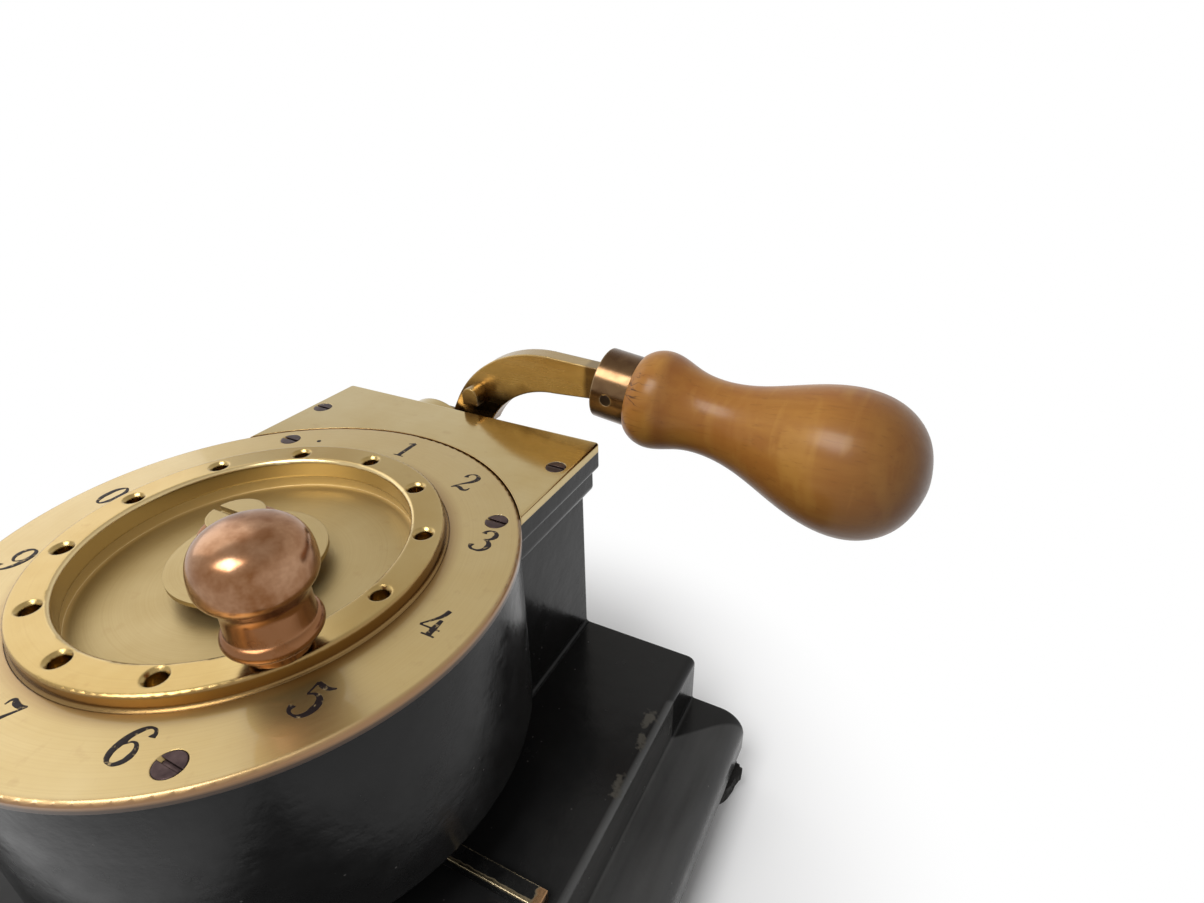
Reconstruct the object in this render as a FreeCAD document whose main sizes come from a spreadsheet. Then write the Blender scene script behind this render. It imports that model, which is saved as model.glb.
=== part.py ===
import FreeCAD, Part
import math
import os
from types import SimpleNamespace

import Sketcher

# Desk press that perforates a chosen numeral. A knob arm on the brass dial turns a wheel of numeral punches,
# and a hand lever behind the head presses the punch at the front through the paper into the die.
# Frame in millimetres: the origin is on the standing plane under the dial's axis, +X points to the handle's
# side, +Y to the back and +Z up.

doc = FreeCAD.newDocument("dial_press")
sheet = doc.addObject("Spreadsheet::Sheet", "Sizes")

SIZES = (
    # base
    ("foot_height", 9), ("foot_radius", 11.5), ("foot_splay", 3), ("foot_recess", 4),
    ("plinth_height", 17), ("plinth_overhang", 17.5), ("plinth_round", 8), ("plinth_under", 3),
    ("slab_height", 17), ("slab_half_width", 78.5), ("slab_front", 78), ("slab_round", 2.4),
    ("plinth_cove", 0.8), ("base_wall", 9), ("base_roof", 10),
    ("sole_thick", 1.5), ("sole_rebate", 4),
    # head
    ("throat_height", 18), ("drum_height", 47.5), ("drum_wall", 7.4), ("dial_lip", 0.6),
    ("ledge_width", 3.5), ("ledge_height", 3), ("web_thick", 2),
    ("cover_half_width", 46.4), ("cover_reach", 79), ("cover_lip", 0.4), ("cover_corner", 1.2),
    ("cover_round", 0.6), ("fascia_inset", 0.3), ("fascia_drop", 6.5), ("fascia_round", 1.9),
    ("step_inset", 2.35), ("step_drop", 14.8), ("step_round", 3),
    ("tower_inset", 5.8), ("tower_cove", 1.2), ("tower_wall", 6), ("tower_room", 22), ("tower_roof", 8),
    # dial
    ("dial_thick", 2.5), ("dial_edge", 0.9), ("index_radius", 38.7), ("index_hole_radius", 1.8),
    ("ring_inside", 3.4), ("ring_outside", 4.9), ("ring_shoulder", 4.3), ("ring_rise", 3.4),
    ("ring_seat", 1.6), ("ring_round", 0.6), ("ring_cove", 0.5), ("ring_lip", 1),
    ("floor_drop", 4.6), ("floor_thick", 2.5), ("floor_step", 0.6), ("index_turn", 30),
    ("first_angle", 90), ("index_sink", 0.65), ("dial_screw_angle", 39), ("guide_screw_angle", 30),
    # selector
    ("spindle_radius", 5), ("bush_wall", 3), ("hub_radius", 16.8), ("hub_rim", 1.2), ("arm_clear", 0.9),
    ("arm_thick", 2.6), ("arm_half_width", 4), ("arm_end_radius", 5.6), ("arm_eye_radius", 8.5),
    ("arm_angle", -30),
    ("hub_screw_radius", 6), ("hub_screw_height", 3.5),
    ("knob_toe_radius", 7.6), ("knob_toe", 0.6), ("knob_foot_radius", 8.7), ("knob_bead", 3.2),
    ("knob_waist", 4.2), ("knob_neck_radius", 7.5), ("knob_bulb_radius", 10.15),
    ("knob_bulb_level", 14.3), ("knob_height", 23),
    ("index_pin_radius", 1.6), ("index_reach", 4.6),
    # punches
    ("station_radius", 38), ("punch_radius", 5), ("punch_head_radius", 6), ("punch_head_thick", 2.5),
    ("head_room", 0.4), ("wheel_rim", 2.6), ("wheel_clear", 1.5), ("wheel_thick", 11), ("punch_guide", 3),
    ("head_lift", 2.1), ("pin_radius", 0.4), ("pin_pitch", 1.2), ("pin_length", 3.6), ("wheel_lift", 1.6),
    ("paper_gap", 5.8),
    ("wheel_boss_radius", 10), ("nut_recess_radius", 9.5), ("nut_thick", 5), ("nut_radius", 8.4),
    ("key_width", 3), ("punch_wire", 0.7), ("punch_turns", 3.5),
    # presser
    ("press_gap", 0.4), ("presser_foot", 5.6), ("presser_thick", 2.8), ("presser_room", 1.3),
    ("presser_arm", 4), ("presser_ring", 14.5), ("guide_thick", 4),
    ("plunger_radius", 4), ("plunger_head_radius", 8), ("plunger_head_thick", 3), ("spigot_radius", 2.5),
    ("spring_wire", 0.8), ("spring_turns", 3.5), ("spring_radius", 6.2),
    # lever
    ("shaft_offset", 17), ("shaft_drop", 16), ("shaft_radius", 4), ("shaft_bush_wall", 2),
    ("lever_swing", 23),
    ("nose_radius", 3), ("rocker_hub_radius", 6.5), ("rocker_width", 10), ("rocker_pin_radius", 1.25),
    ("lug_radius", 14), ("lug_thick", 6), ("lug_gap", 0.3), ("bracket_depth", 30), ("bracket_reach", 31),
    ("washer_thick", 1.5), ("washer_radius", 8), ("lever_nut_radius", 6.6), ("bar_thick", 5),
    ("eye_radius", 8.8), ("bar_gap", 0.1),
    ("bend_x", 27.6), ("bend_drop", 22), ("bend_inside", 30), ("bar_width", 11), ("bar_flare", 1.3),
    ("bar_end_width", 9.2), ("bend_start", 58), ("stop_radius", 2.6), ("stop_rise", 3.8),
    ("stop_length", 5.4),
    ("stop_foot", 2.9),
    ("grip_x", 43.2), ("grip_rise", 13.6), ("grip_slope", 7.7), ("ferrule_length", 10.5),
    ("ferrule_radius", 10), ("ferrule_pin_radius", 1.6), ("tang_radius", 4), ("tang_length", 66),
    ("grip_length", 77.8), ("collar_radius", 13.7), ("neck_radius", 10.5), ("bulb_radius", 19.1),
    # die and fence
    ("die_proud", 1), ("die_thick", 7), ("die_half_width", 13), ("die_half_depth", 11),
    ("die_hole_radius", 0.45), ("die_relief", 4), ("chute_half_width", 5), ("chute_half_depth", 6),
    ("fence_half_length", 75), ("fence_front", 7.4), ("fence_width", 4.2), ("fence_height", 3.5),
    # fasteners and fits
    ("small_head", 2.7), ("small_shank", 1.5), ("small_length", 8), ("tiny_head", 1.6),
    ("tiny_shank", 0.9),
    ("slot_width", 0.8), ("bolt_radius", 3), ("bolt_head_radius", 5.8), ("bolt_head", 4),
    ("bolt_grip", 16),
    ("running_fit", 0.05), ("seat_fit", 0.1),
)

GLYPHS = {
    "one": "..X.. .XX.. ..X.. ..X.. ..X.. ..X.. .XXX.",
    "two": ".XXX. X...X ....X ...X. ..X.. .X... XXXXX",
    "three": ".XXX. X...X ....X ..XX. ....X X...X .XXX.",
    "four": "...X. ..XX. .X.X. X..X. XXXXX ...X. ...X.",
    "five": "XXXXX X.... XXXX. ....X ....X X...X .XXX.",
    "six": ".XXX. X.... X.... XXXX. X...X X...X .XXX.",
    "seven": "XXXXX ....X ...X. ..X.. ..X.. ..X.. ..X..",
    "eight": ".XXX. X...X X...X .XXX. X...X X...X .XXX.",
    "nine": ".XXX. X...X X...X .XXXX ....X ....X .XXX.",
    "nought": ".XXX. X...X X..XX X.X.X XX..X X...X .XXX.",
    "dash": "..... ..... ..... XXXXX ..... ..... .....",
    "point": "..... ..... ..... ..... ..... .XX.. .XX..",
}
STATIONS = tuple(GLYPHS)
SET_NUMERAL = "five"
PRESSER_FEET = 4

for row, (alias, number) in enumerate(SIZES, start=1):
    sheet.set(f"A{row}", alias)
    sheet.set(f"B{row}", str(number))
    sheet.setAlias(f"B{row}", alias)
doc.recompute()


class Size:
    """A size that keeps its formula in the sheet beside its number."""

    def __init__(self, text, number):
        self.text = text
        self.number = float(number)

    def __float__(self):
        return self.number

    def __neg__(self):
        return Size(f"(0 - {self.text})", -self.number)

    def __add__(self, other):
        return Size(f"({self.text} + {formula(other)})", self.number + float(other))

    def __sub__(self, other):
        return Size(f"({self.text} - {formula(other)})", self.number - float(other))

    def __mul__(self, other):
        return Size(f"({self.text} * {formula(other)})", self.number * float(other))

    def __truediv__(self, other):
        return Size(f"({self.text} / {formula(other)})", self.number / float(other))


def formula(term):
    return term.text if isinstance(term, Size) else f"({term:.12g})"


def sine(angle):
    return Size(f"sin({angle.text})", math.sin(math.radians(float(angle))))


def cosine(angle):
    return Size(f"cos({angle.text})", math.cos(math.radians(float(angle))))


s = SimpleNamespace(**{alias: Size(f"Sizes.{alias}", getattr(sheet, alias)) for alias, _ in SIZES})

# Levels, from the standing plane up
plinth_top = s.foot_height + s.plinth_height
base_top = plinth_top + s.slab_height
drum_bottom = base_top + s.throat_height
drum_top = drum_bottom + s.drum_height
plate_top = drum_top + s.dial_thick
ring_top = plate_top + s.ring_rise
floor_top = plate_top - s.floor_drop
floor_bottom = floor_top - s.floor_thick
web_bottom = floor_bottom - s.web_thick
arm_bottom = ring_top + s.arm_clear
arm_top = arm_bottom + s.arm_thick
shaft_z = plate_top - s.shaft_drop
die_top = base_top + s.die_proud
pin_tips = die_top + s.paper_gap
punch_bottom = pin_tips + s.pin_length
wheel_bottom = pin_tips + s.wheel_lift
wheel_top = wheel_bottom + s.wheel_thick
bore_floor = wheel_bottom + s.punch_guide
head_bottom = wheel_top + s.head_lift
punch_top = head_bottom + s.punch_head_thick
stroke = s.shaft_offset * sine(s.lever_swing)
presser_bottom = punch_top + s.press_gap
arms_bottom = wheel_top + stroke + s.press_gap
presser_top = arms_bottom + s.presser_thick
guide_bottom = presser_top + s.presser_room
guide_top = guide_bottom + s.guide_thick
plunger_top = shaft_z - s.nose_radius - s.press_gap
plunger_seat = plunger_top - s.plunger_head_thick

# Radii about the dial's axis
ring_inner = s.index_radius - s.ring_inside
ring_outer = s.index_radius + s.ring_outside
wheel_radius = s.station_radius + s.punch_head_radius + s.head_room + s.wheel_rim
ledge_radius = wheel_radius + s.wheel_clear
room_radius = ledge_radius + s.ledge_width
drum_radius = room_radius + s.drum_wall
dial_radius = drum_radius + s.dial_lip

# Places along the depth
tower_rear = s.cover_reach - s.cover_lip
lug_front = s.cover_reach + s.lug_gap
lug_rear = lug_front + s.lug_thick
bar_front = lug_rear + s.washer_thick + s.bar_gap * 2
bar_rear = bar_front + s.bar_thick
shaft_x = -s.shaft_offset
station_y = -s.station_radius
plinth_half_width = s.slab_half_width + s.plinth_overhang
plinth_front = s.slab_front + s.plinth_overhang
tower_half_width = s.cover_half_width - s.tower_inset

TURNS = {
    "Z": FreeCAD.Rotation(),
    "-Z": FreeCAD.Rotation(FreeCAD.Vector(1, 0, 0), 180),
    "Y": FreeCAD.Rotation(FreeCAD.Vector(1, 0, 0), -90),
    "X": FreeCAD.Rotation(FreeCAD.Vector(0, 1, 0), 90),
}
nodes = []


def keep(obj):
    """Mark a finished object as one of the press's pieces."""
    nodes.append(obj)
    return obj


def bind(obj, prop, term):
    if isinstance(term, Size):
        obj.setExpression(prop, term.text)
    else:
        setattr(obj, prop, term)


def put(obj, place, axis="Z"):
    obj.Placement = FreeCAD.Placement(FreeCAD.Vector(*[float(v) for v in place]), TURNS[axis])
    for letter, value in zip("xyz", place):
        if isinstance(value, Size):
            obj.setExpression(f"Placement.Base.{letter}", value.text)
    return obj


def cylinder(name, radius, height, place, axis="Z"):
    obj = doc.addObject("Part::Cylinder", name)
    bind(obj, "Radius", radius)
    bind(obj, "Height", height)
    return put(obj, place, axis)


def cone(name, low_radius, high_radius, height, place, axis="Z"):
    obj = doc.addObject("Part::Cone", name)
    bind(obj, "Radius1", low_radius)
    bind(obj, "Radius2", high_radius)
    bind(obj, "Height", height)
    return put(obj, place, axis)


def hexagon(name, radius, height, place, axis="Z"):
    obj = doc.addObject("Part::Prism", name)
    obj.Polygon = 6
    bind(obj, "Circumradius", radius)
    bind(obj, "Height", height)
    return put(obj, place, axis)


def block(name, low, high):
    """A box between two corners."""
    obj = doc.addObject("Part::Box", name)
    for prop, start, end in zip(("Length", "Width", "Height"), low, high):
        bind(obj, prop, end - start)
    return put(obj, low)


def fuse(label, shapes):
    obj = doc.addObject("Part::MultiFuse", label)
    obj.Shapes = shapes
    return obj


def group(label, shapes):
    obj = doc.addObject("Part::Compound", label)
    obj.Links = shapes
    return obj


def cut(label, base, tools):
    obj = doc.addObject("Part::Cut", label)
    obj.Base = base
    obj.Tool = tools[0] if len(tools) == 1 else fuse(label + "_tools", tools)
    return obj


def solid(label, shape):
    obj = doc.addObject("Part::Feature", label)
    obj.Shape = shape
    return obj


def vector(x, y, z):
    return FreeCAD.Vector(float(x), float(y), float(z))


def ring(label, outer, inner, height, place, axis="Z"):
    """A plain tube; its bore runs right through."""
    wall = cylinder(label + "_wall", outer, height, place, axis)
    bore = cylinder(label + "_bore", inner, height, place, axis)
    return cut(label, wall, [bore])


def shifted(place, axis, distance):
    """The place moved outwards along a fastener's axis."""
    index, sign = {"Z": (2, 1), "-Z": (2, -1), "Y": (1, 1)}[axis]
    moved = list(place)
    moved[index] = moved[index] + distance * sign
    return tuple(moved)


def screw(name, place, axis, head, shank, length):
    """A slotted countersunk screw whose head is flush with the place given."""
    rise = head - shank
    low = shifted(place, axis, -length)
    seat = shifted(place, axis, -rise)
    body = fuse(name + "_body", [
        cone(name + "_head", shank, head, rise, seat, axis),
        cylinder(name + "_shank", shank, length - rise, low, axis),
    ])
    slot = doc.addObject("Part::Box", name + "_slot")
    bind(slot, "Length", head * 2)
    bind(slot, "Width", s.slot_width)
    bind(slot, "Height", rise)
    corner = list(shifted(place, axis, -rise / 2))
    corner[0] = corner[0] - head
    side = 2 if axis == "Y" else 1
    corner[side] = corner[side] - s.slot_width / 2 * (1 if axis == "Z" else -1)
    put(slot, corner, axis)
    return cut(name, body, [slot])


def screw_hole(name, place, axis, head, shank, length):
    """The countersunk hole that such a screw sits in."""
    rise = head - shank
    return [
        cone(name + "_sink", shank + s.seat_fit, head + s.seat_fit, rise, shifted(place, axis, -rise), axis),
        cylinder(name + "_hole", shank + s.seat_fit, length, shifted(place, axis, -length), axis),
    ]


def screws(label, places, axis, head, shank, length):
    """A set of equal screws as one node, and the holes for them."""
    made = [screw(f"{label}_{i}", place, axis, head, shank, length) for i, place in enumerate(places)]
    keep(group(label, made))


def holes(label, places, axis, head, shank, length):
    tools = []
    for i, place in enumerate(places):
        tools += screw_hole(f"{label}_{i}", place, axis, head, shank, length)
    return tools


def polar(radius, angle):
    """A point on a circle about the dial's axis."""
    return (radius * math.cos(math.radians(angle)), radius * math.sin(math.radians(angle)))


def quarters(angle):
    """The angle and the three a quarter turn apart from it."""
    return [float(angle) + 90 * i for i in range(4)]


def outline(body, name, role, points, lift=None):
    """A closed sketch of straight lines whose corners are bound to the sheet."""
    sketch = body.newObject("Sketcher::SketchObject", name)
    plane = next(item for item in body.Origin.OriginFeatures if item.Role == role)
    sketch.AttachmentSupport = (plane, [""])
    sketch.MapMode = "FlatFace"
    if lift is not None:
        sketch.AttachmentOffset = FreeCAD.Placement(vector(0, 0, lift), FreeCAD.Rotation())
        sketch.setExpression("AttachmentOffset.Base.z", lift.text)
    count = len(points)
    for i, (x, y) in enumerate(points):
        following = points[(i + 1) % count]
        sketch.addGeometry(Part.LineSegment(vector(x, y, 0), vector(*following, 0)), False)
    for i in range(count):
        sketch.addConstraint(Sketcher.Constraint("Coincident", i, 2, (i + 1) % count, 1))
    for i, point in enumerate(points):
        for kind, value in zip(("DistanceX", "DistanceY"), point):
            index = sketch.addConstraint(Sketcher.Constraint(kind, -1, 1, i, 1, float(value)))
            sketch.setExpression(f"Constraints[{index}]", formula(value))
    return sketch


def rectangle(body, name, half_width, front, rear, lift):
    corners = [(-half_width, front), (half_width, front), (half_width, rear), (-half_width, rear)]
    return outline(body, name, "XY_Plane", corners, lift)


def circle(body, name, centre, radius, lift):
    sketch = body.newObject("Sketcher::SketchObject", name)
    plane = next(item for item in body.Origin.OriginFeatures if item.Role == "XY_Plane")
    sketch.AttachmentSupport = (plane, [""])
    sketch.MapMode = "FlatFace"
    sketch.AttachmentOffset = FreeCAD.Placement(vector(0, 0, lift), FreeCAD.Rotation())
    sketch.setExpression("AttachmentOffset.Base.z", lift.text)
    sketch.addGeometry(Part.Circle(vector(*centre, 0), vector(0, 0, 1), float(radius)), False)
    for kind, value in zip(("DistanceX", "DistanceY"), centre):
        index = sketch.addConstraint(Sketcher.Constraint(kind, -1, 1, 0, 3, float(value)))
        sketch.setExpression(f"Constraints[{index}]", formula(value))
    index = sketch.addConstraint(Sketcher.Constraint("Radius", 0, float(radius)))
    sketch.setExpression(f"Constraints[{index}]", formula(radius))
    return sketch


def feature(body, kind, name, sketch, length, reverse=False):
    made = body.newObject("PartDesign::" + kind, name)
    made.Profile = sketch
    made.Reversed = reverse
    bind(made, "Length", length)
    doc.recompute()
    return made


def turned(label, points):
    """A body of revolution about the dial's axis, from corners given as radius and height."""
    body = doc.addObject("PartDesign::Body", label)
    sketch = outline(body, label + "_profile", "XZ_Plane", points)
    spun = body.newObject("PartDesign::Revolution", label + "_turned")
    spun.Profile = sketch
    spun.ReferenceAxis = (sketch, ["V_Axis"])
    spun.Angle = 360
    doc.recompute()
    return body, spun


def rounded(body, name, base, radius, wanted):
    """Round those edges of a feature that the test picks out."""
    doc.recompute()
    picked = [f"Edge{i}" for i, edge in enumerate(base.Shape.Edges, start=1) if wanted(edge.BoundBox)]
    made = body.newObject("PartDesign::Fillet", name)
    made.Base = (base, picked)
    bind(made, "Radius", radius)
    doc.recompute()
    return made


def around(body, name, originals, count):
    """Repeat features evenly about the dial's axis."""
    axis = next(item for item in body.Origin.OriginFeatures if item.Role == "Z_Axis")
    made = body.newObject("PartDesign::PolarPattern", name)
    made.Originals = originals
    made.Axis = (axis, [""])
    made.Angle = 360
    made.Occurrences = count
    body.Tip = made
    doc.recompute()
    return made


def near(value, target):
    return abs(value - float(target)) < 1e-4


def is_hole_mouth(edge, radius, level):
    curve = edge.Curve
    return isinstance(curve, Part.Circle) and near(curve.Radius, radius) and near(curve.Center.z, level)


# Places of the fasteners
cover_screw_x = s.cover_half_width - s.tower_inset * 0.74
cover_screw_places = [(cover_screw_x * side, tower_rear - s.tower_wall * 2.77, plate_top) for side in (-1, 1)]
dial_screw_radius = (ring_outer + dial_radius) / 2 + s.small_head
dial_screw_places = [polar(dial_screw_radius, angle) + (plate_top,) for angle in quarters(s.dial_screw_angle)]
guide_screw_places = [polar(ledge_radius + s.ledge_width / 2, angle) + (guide_top,)
                      for angle in quarters(s.guide_screw_angle)]
guide_screw_length = s.guide_thick + s.ledge_height * 0.8
bracket_left = shaft_x - s.lug_radius
bracket_low = shaft_z - s.bracket_depth
bracket_right = shaft_x + s.bracket_reach
bracket_screw_places = [
    (bracket_left + s.tower_wall, lug_rear, bracket_low + s.tower_wall),
    (bracket_right - s.tower_wall, lug_rear, bracket_low + s.tower_wall),
    (bracket_right - s.tower_wall, lug_rear, shaft_z),
]
bracket_screw_length = lug_rear - tower_rear + s.tower_wall * 0.9
die_screw_x = s.die_half_width - s.small_head * 1.3
die_screw_y = s.die_half_depth - s.small_head * 1.2
die_screw_places = [(die_screw_x * i, station_y + die_screw_y * j, die_top) for i in (-1, 1) for j in (-1, 1)]
die_screw_length = s.die_thick + s.base_roof * 0.3
fence_middle = s.fence_width / 2 - s.fence_front
fence_top = base_top + s.fence_height
fence_screw_places = [(s.fence_half_length * 0.4 * i, fence_middle, fence_top) for i in (-1, 1)]
hollow_half_width = s.slab_half_width - s.base_wall
hollow_front = s.base_wall - s.slab_front
hollow_rear = tower_rear - s.base_wall
sole_half_width = hollow_half_width + s.sole_rebate
sole_front = hollow_front - s.sole_rebate
sole_rear = hollow_rear + s.sole_rebate
sole_screw_places = [((sole_half_width - s.sole_rebate / 2) * i, y, s.foot_height)
                     for i in (-1, 1) for y in (sole_front * 0.5, sole_rear * 0.5)]
foot_x = plinth_half_width - s.foot_radius + s.foot_splay
foot_front = s.foot_radius - s.foot_splay - plinth_front
foot_rear = tower_rear - s.foot_radius + s.foot_splay
foot_places = [(foot_x * i, y) for i in (-1, 1) for y in (foot_front, foot_rear)]
foot_screw_places = [place + (s.foot_recess,) for place in foot_places]
foot_screw_length = s.foot_height - s.foot_recess + s.plinth_height * 0.5
bolt_room = room_radius - s.tower_wall
bolt_rear = tower_rear - s.base_wall * 1.8
bolt_places = [(tower_half_width * 0.79 * i, y) for i in (-1, 1) for y in (bolt_room, bolt_rear)]


def make_base_casting():
    body = doc.addObject("PartDesign::Body", "base_casting")
    plinth_outline = rectangle(body, "plinth_outline", plinth_half_width, -plinth_front, tower_rear,
                               s.foot_height)
    plinth = feature(body, "Pad", "plinth", plinth_outline, s.plinth_height)

    def is_rim(level):
        return lambda box: near(box.ZMin, level) and near(box.ZMax, level) and not near(box.YMin, tower_rear)

    def meets_slab(box):
        level = near(box.ZMin, plinth_top) and near(box.ZMax, plinth_top)
        side = near(box.XMin, box.XMax) and near(abs(box.XMin), s.slab_half_width)
        front = near(box.YMin, -s.slab_front) and near(box.YMax, -s.slab_front)
        return level and (side or front)

    moulded = rounded(body, "plinth_moulding", plinth, s.plinth_round, is_rim(plinth_top))
    rounded(body, "plinth_underside", moulded, s.plinth_under, is_rim(s.foot_height))
    slab_outline = rectangle(body, "slab_outline", s.slab_half_width, -s.slab_front, tower_rear, plinth_top)
    slab = feature(body, "Pad", "slab", slab_outline, s.slab_height)
    edged = rounded(body, "slab_edge", slab, s.slab_round, is_rim(base_top))
    rounded(body, "slab_cove", edged, s.plinth_cove, meets_slab)
    hollow_height = s.plinth_height + s.slab_height - s.base_roof
    feature(body, "Pocket", "hollow",
            rectangle(body, "hollow_outline", hollow_half_width, hollow_front, hollow_rear, s.foot_height),
            hollow_height, reverse=True)
    feature(body, "Pocket", "sole_seat",
            rectangle(body, "sole_outline", sole_half_width, sole_front, sole_rear, s.foot_height),
            s.sole_thick, reverse=True)
    fit = s.seat_fit
    feature(body, "Pocket", "die_seat",
            rectangle(body, "die_outline", s.die_half_width + fit, station_y - s.die_half_depth - fit,
                      station_y + s.die_half_depth + fit, base_top),
            s.die_thick - s.die_proud)
    feature(body, "Pocket", "chute",
            rectangle(body, "chute_outline", s.chute_half_width, station_y - s.chute_half_depth,
                      station_y + s.chute_half_depth, base_top),
            s.base_roof)
    tools = holes("base_die", die_screw_places, "Z", s.small_head, s.small_shank, die_screw_length)
    tools += holes("base_fence", fence_screw_places, "Z", s.tiny_head, s.tiny_shank, s.small_length)
    tools += holes("base_sole", sole_screw_places, "-Z", s.small_head, s.small_shank, s.small_length)
    tools += holes("base_foot", foot_screw_places, "-Z", s.small_head, s.small_shank, foot_screw_length)
    for i, place in enumerate(bolt_places):
        tools.append(cylinder(f"base_bolt_hole_{i}", s.bolt_radius + s.seat_fit, s.base_roof,
                              place + (base_top - s.base_roof,)))
    body.Label = "base_blank"
    keep(cut("base_casting_bored", body, tools)).Label = "base_casting"


def make_base_fittings():
    sole = block("sole_sheet", (-sole_half_width + s.seat_fit, sole_front + s.seat_fit, s.foot_height),
                 (sole_half_width - s.seat_fit, sole_rear - s.seat_fit, s.foot_height + s.sole_thick))
    keep(cut("sole_plate", sole, holes("sole", sole_screw_places, "-Z", s.small_head, s.small_shank,
                                       s.small_length)))
    screws("sole_screws", sole_screw_places, "-Z", s.small_head, s.small_shank, s.small_length)
    feet = []
    for i, place in enumerate(foot_places):
        pad = cylinder(f"foot_pad_{i}", s.foot_radius, s.foot_height, place + (s.foot_height * 0,))
        well = cylinder(f"foot_well_{i}", s.small_head + s.seat_fit, s.foot_recess,
                        place + (s.foot_height * 0,))
        sink = screw_hole(f"foot_sink_{i}", foot_screw_places[i], "-Z", s.small_head, s.small_shank,
                          foot_screw_length)
        feet.append(cut(f"foot_{i}", pad, [well] + sink))
    keep(group("base_feet", feet))
    screws("foot_screws", foot_screw_places, "-Z", s.small_head, s.small_shank, foot_screw_length)
    bolts = []
    roof_under = base_top - s.base_roof
    for i, place in enumerate(bolt_places):
        head = hexagon(f"bolt_head_{i}", s.bolt_head_radius, s.bolt_head, place + (roof_under - s.bolt_head,))
        shank = cylinder(f"bolt_shank_{i}", s.bolt_radius, s.base_roof + s.bolt_grip, place + (roof_under,))
        bolts.append(fuse(f"body_bolt_{i}", [head, shank]))
    keep(group("body_bolts", bolts))


def moulding(name, inset, drop, radius):
    """A band along both sides of the tower, hung from its top, with a rounded lower edge."""
    body = doc.addObject("PartDesign::Body", name)
    half = s.cover_half_width - inset
    low = drum_top - drop
    sketch = rectangle(body, name + "_outline", half, s.cover_reach * 0, tower_rear, low)
    band = feature(body, "Pad", name + "_band", sketch, drop)
    rounded(body, name + "_edge", band, radius,
            lambda box: near(box.ZMin, low) and near(box.ZMax, low) and near(box.XMin, box.XMax))
    return body


def make_body_casting():
    zero = s.cover_reach * 0
    drum = cylinder("drum", drum_radius, s.drum_height, (0, 0, drum_bottom))
    shapes = [drum, block("tower", (-tower_half_width, zero, base_top),
                          (tower_half_width, tower_rear, drum_top))]
    shapes.append(moulding("fascia", s.fascia_inset, s.fascia_drop, s.fascia_round))
    shapes.append(moulding("step", s.step_inset, s.step_drop, s.step_round))
    cove_end = tower_half_width + s.tower_cove
    foot = block("tower_foot", (-cove_end, zero, base_top), (cove_end, tower_rear, base_top + s.tower_cove))
    cove_level = base_top + s.tower_cove
    coves = [cylinder(f"cove_{i}", s.tower_cove, tower_rear, (cove_end * i, zero, cove_level), "Y")
             for i in (-1, 1)]
    shapes.append(cut("tower_skirt", foot, coves))
    room = cylinder("room", room_radius, web_bottom - base_top, (0, 0, base_top))
    hollowed = cut("head_blank", fuse("head_outside", shapes), [room])
    ledge = ring("ledge", room_radius + s.seat_fit, ledge_radius, s.ledge_height,
                 (0, 0, guide_bottom - s.ledge_height))
    casting = fuse("head_with_ledge", [hollowed, ledge])
    back_wall = room_radius + s.tower_wall * 0.75
    bush_radius = s.shaft_radius + s.shaft_bush_wall
    tools = [
        cylinder("dial_recess", ring_outer + s.seat_fit, drum_top - floor_bottom, (0, 0, floor_bottom)),
        cylinder("spindle_seat", s.spindle_radius + s.bush_wall + s.seat_fit, s.web_thick,
                 (0, 0, web_bottom)),
        block("tower_hollow", (-s.tower_room, back_wall, base_top),
              (s.tower_room, tower_rear - s.tower_wall, drum_top - s.tower_roof)),
        cylinder("shaft_bore", bush_radius + s.seat_fit, tower_rear, (shaft_x, zero, shaft_z), "Y"),
        cylinder("shaft_end_bore", s.shaft_radius + s.running_fit, room_radius + s.drum_wall * 0.3,
                 (shaft_x, -(room_radius + s.drum_wall * 0.3), shaft_z), "Y"),
    ]
    tools += holes("body_cover", cover_screw_places, "Z", s.small_head, s.small_shank, s.small_length)
    tools += holes("body_dial", dial_screw_places, "Z", s.small_head, s.small_shank, s.small_length)
    tools += holes("body_guide", guide_screw_places, "Z", s.tiny_head, s.tiny_shank, guide_screw_length)
    tools += holes("body_bracket", bracket_screw_places, "Y", s.small_head, s.small_shank,
                   bracket_screw_length)
    for i, place in enumerate(bolt_places):
        tools.append(cylinder(f"body_bolt_hole_{i}", s.bolt_radius + s.seat_fit, s.bolt_grip,
                              place + (base_top,)))
    keep(cut("body_casting", casting, tools))


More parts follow.
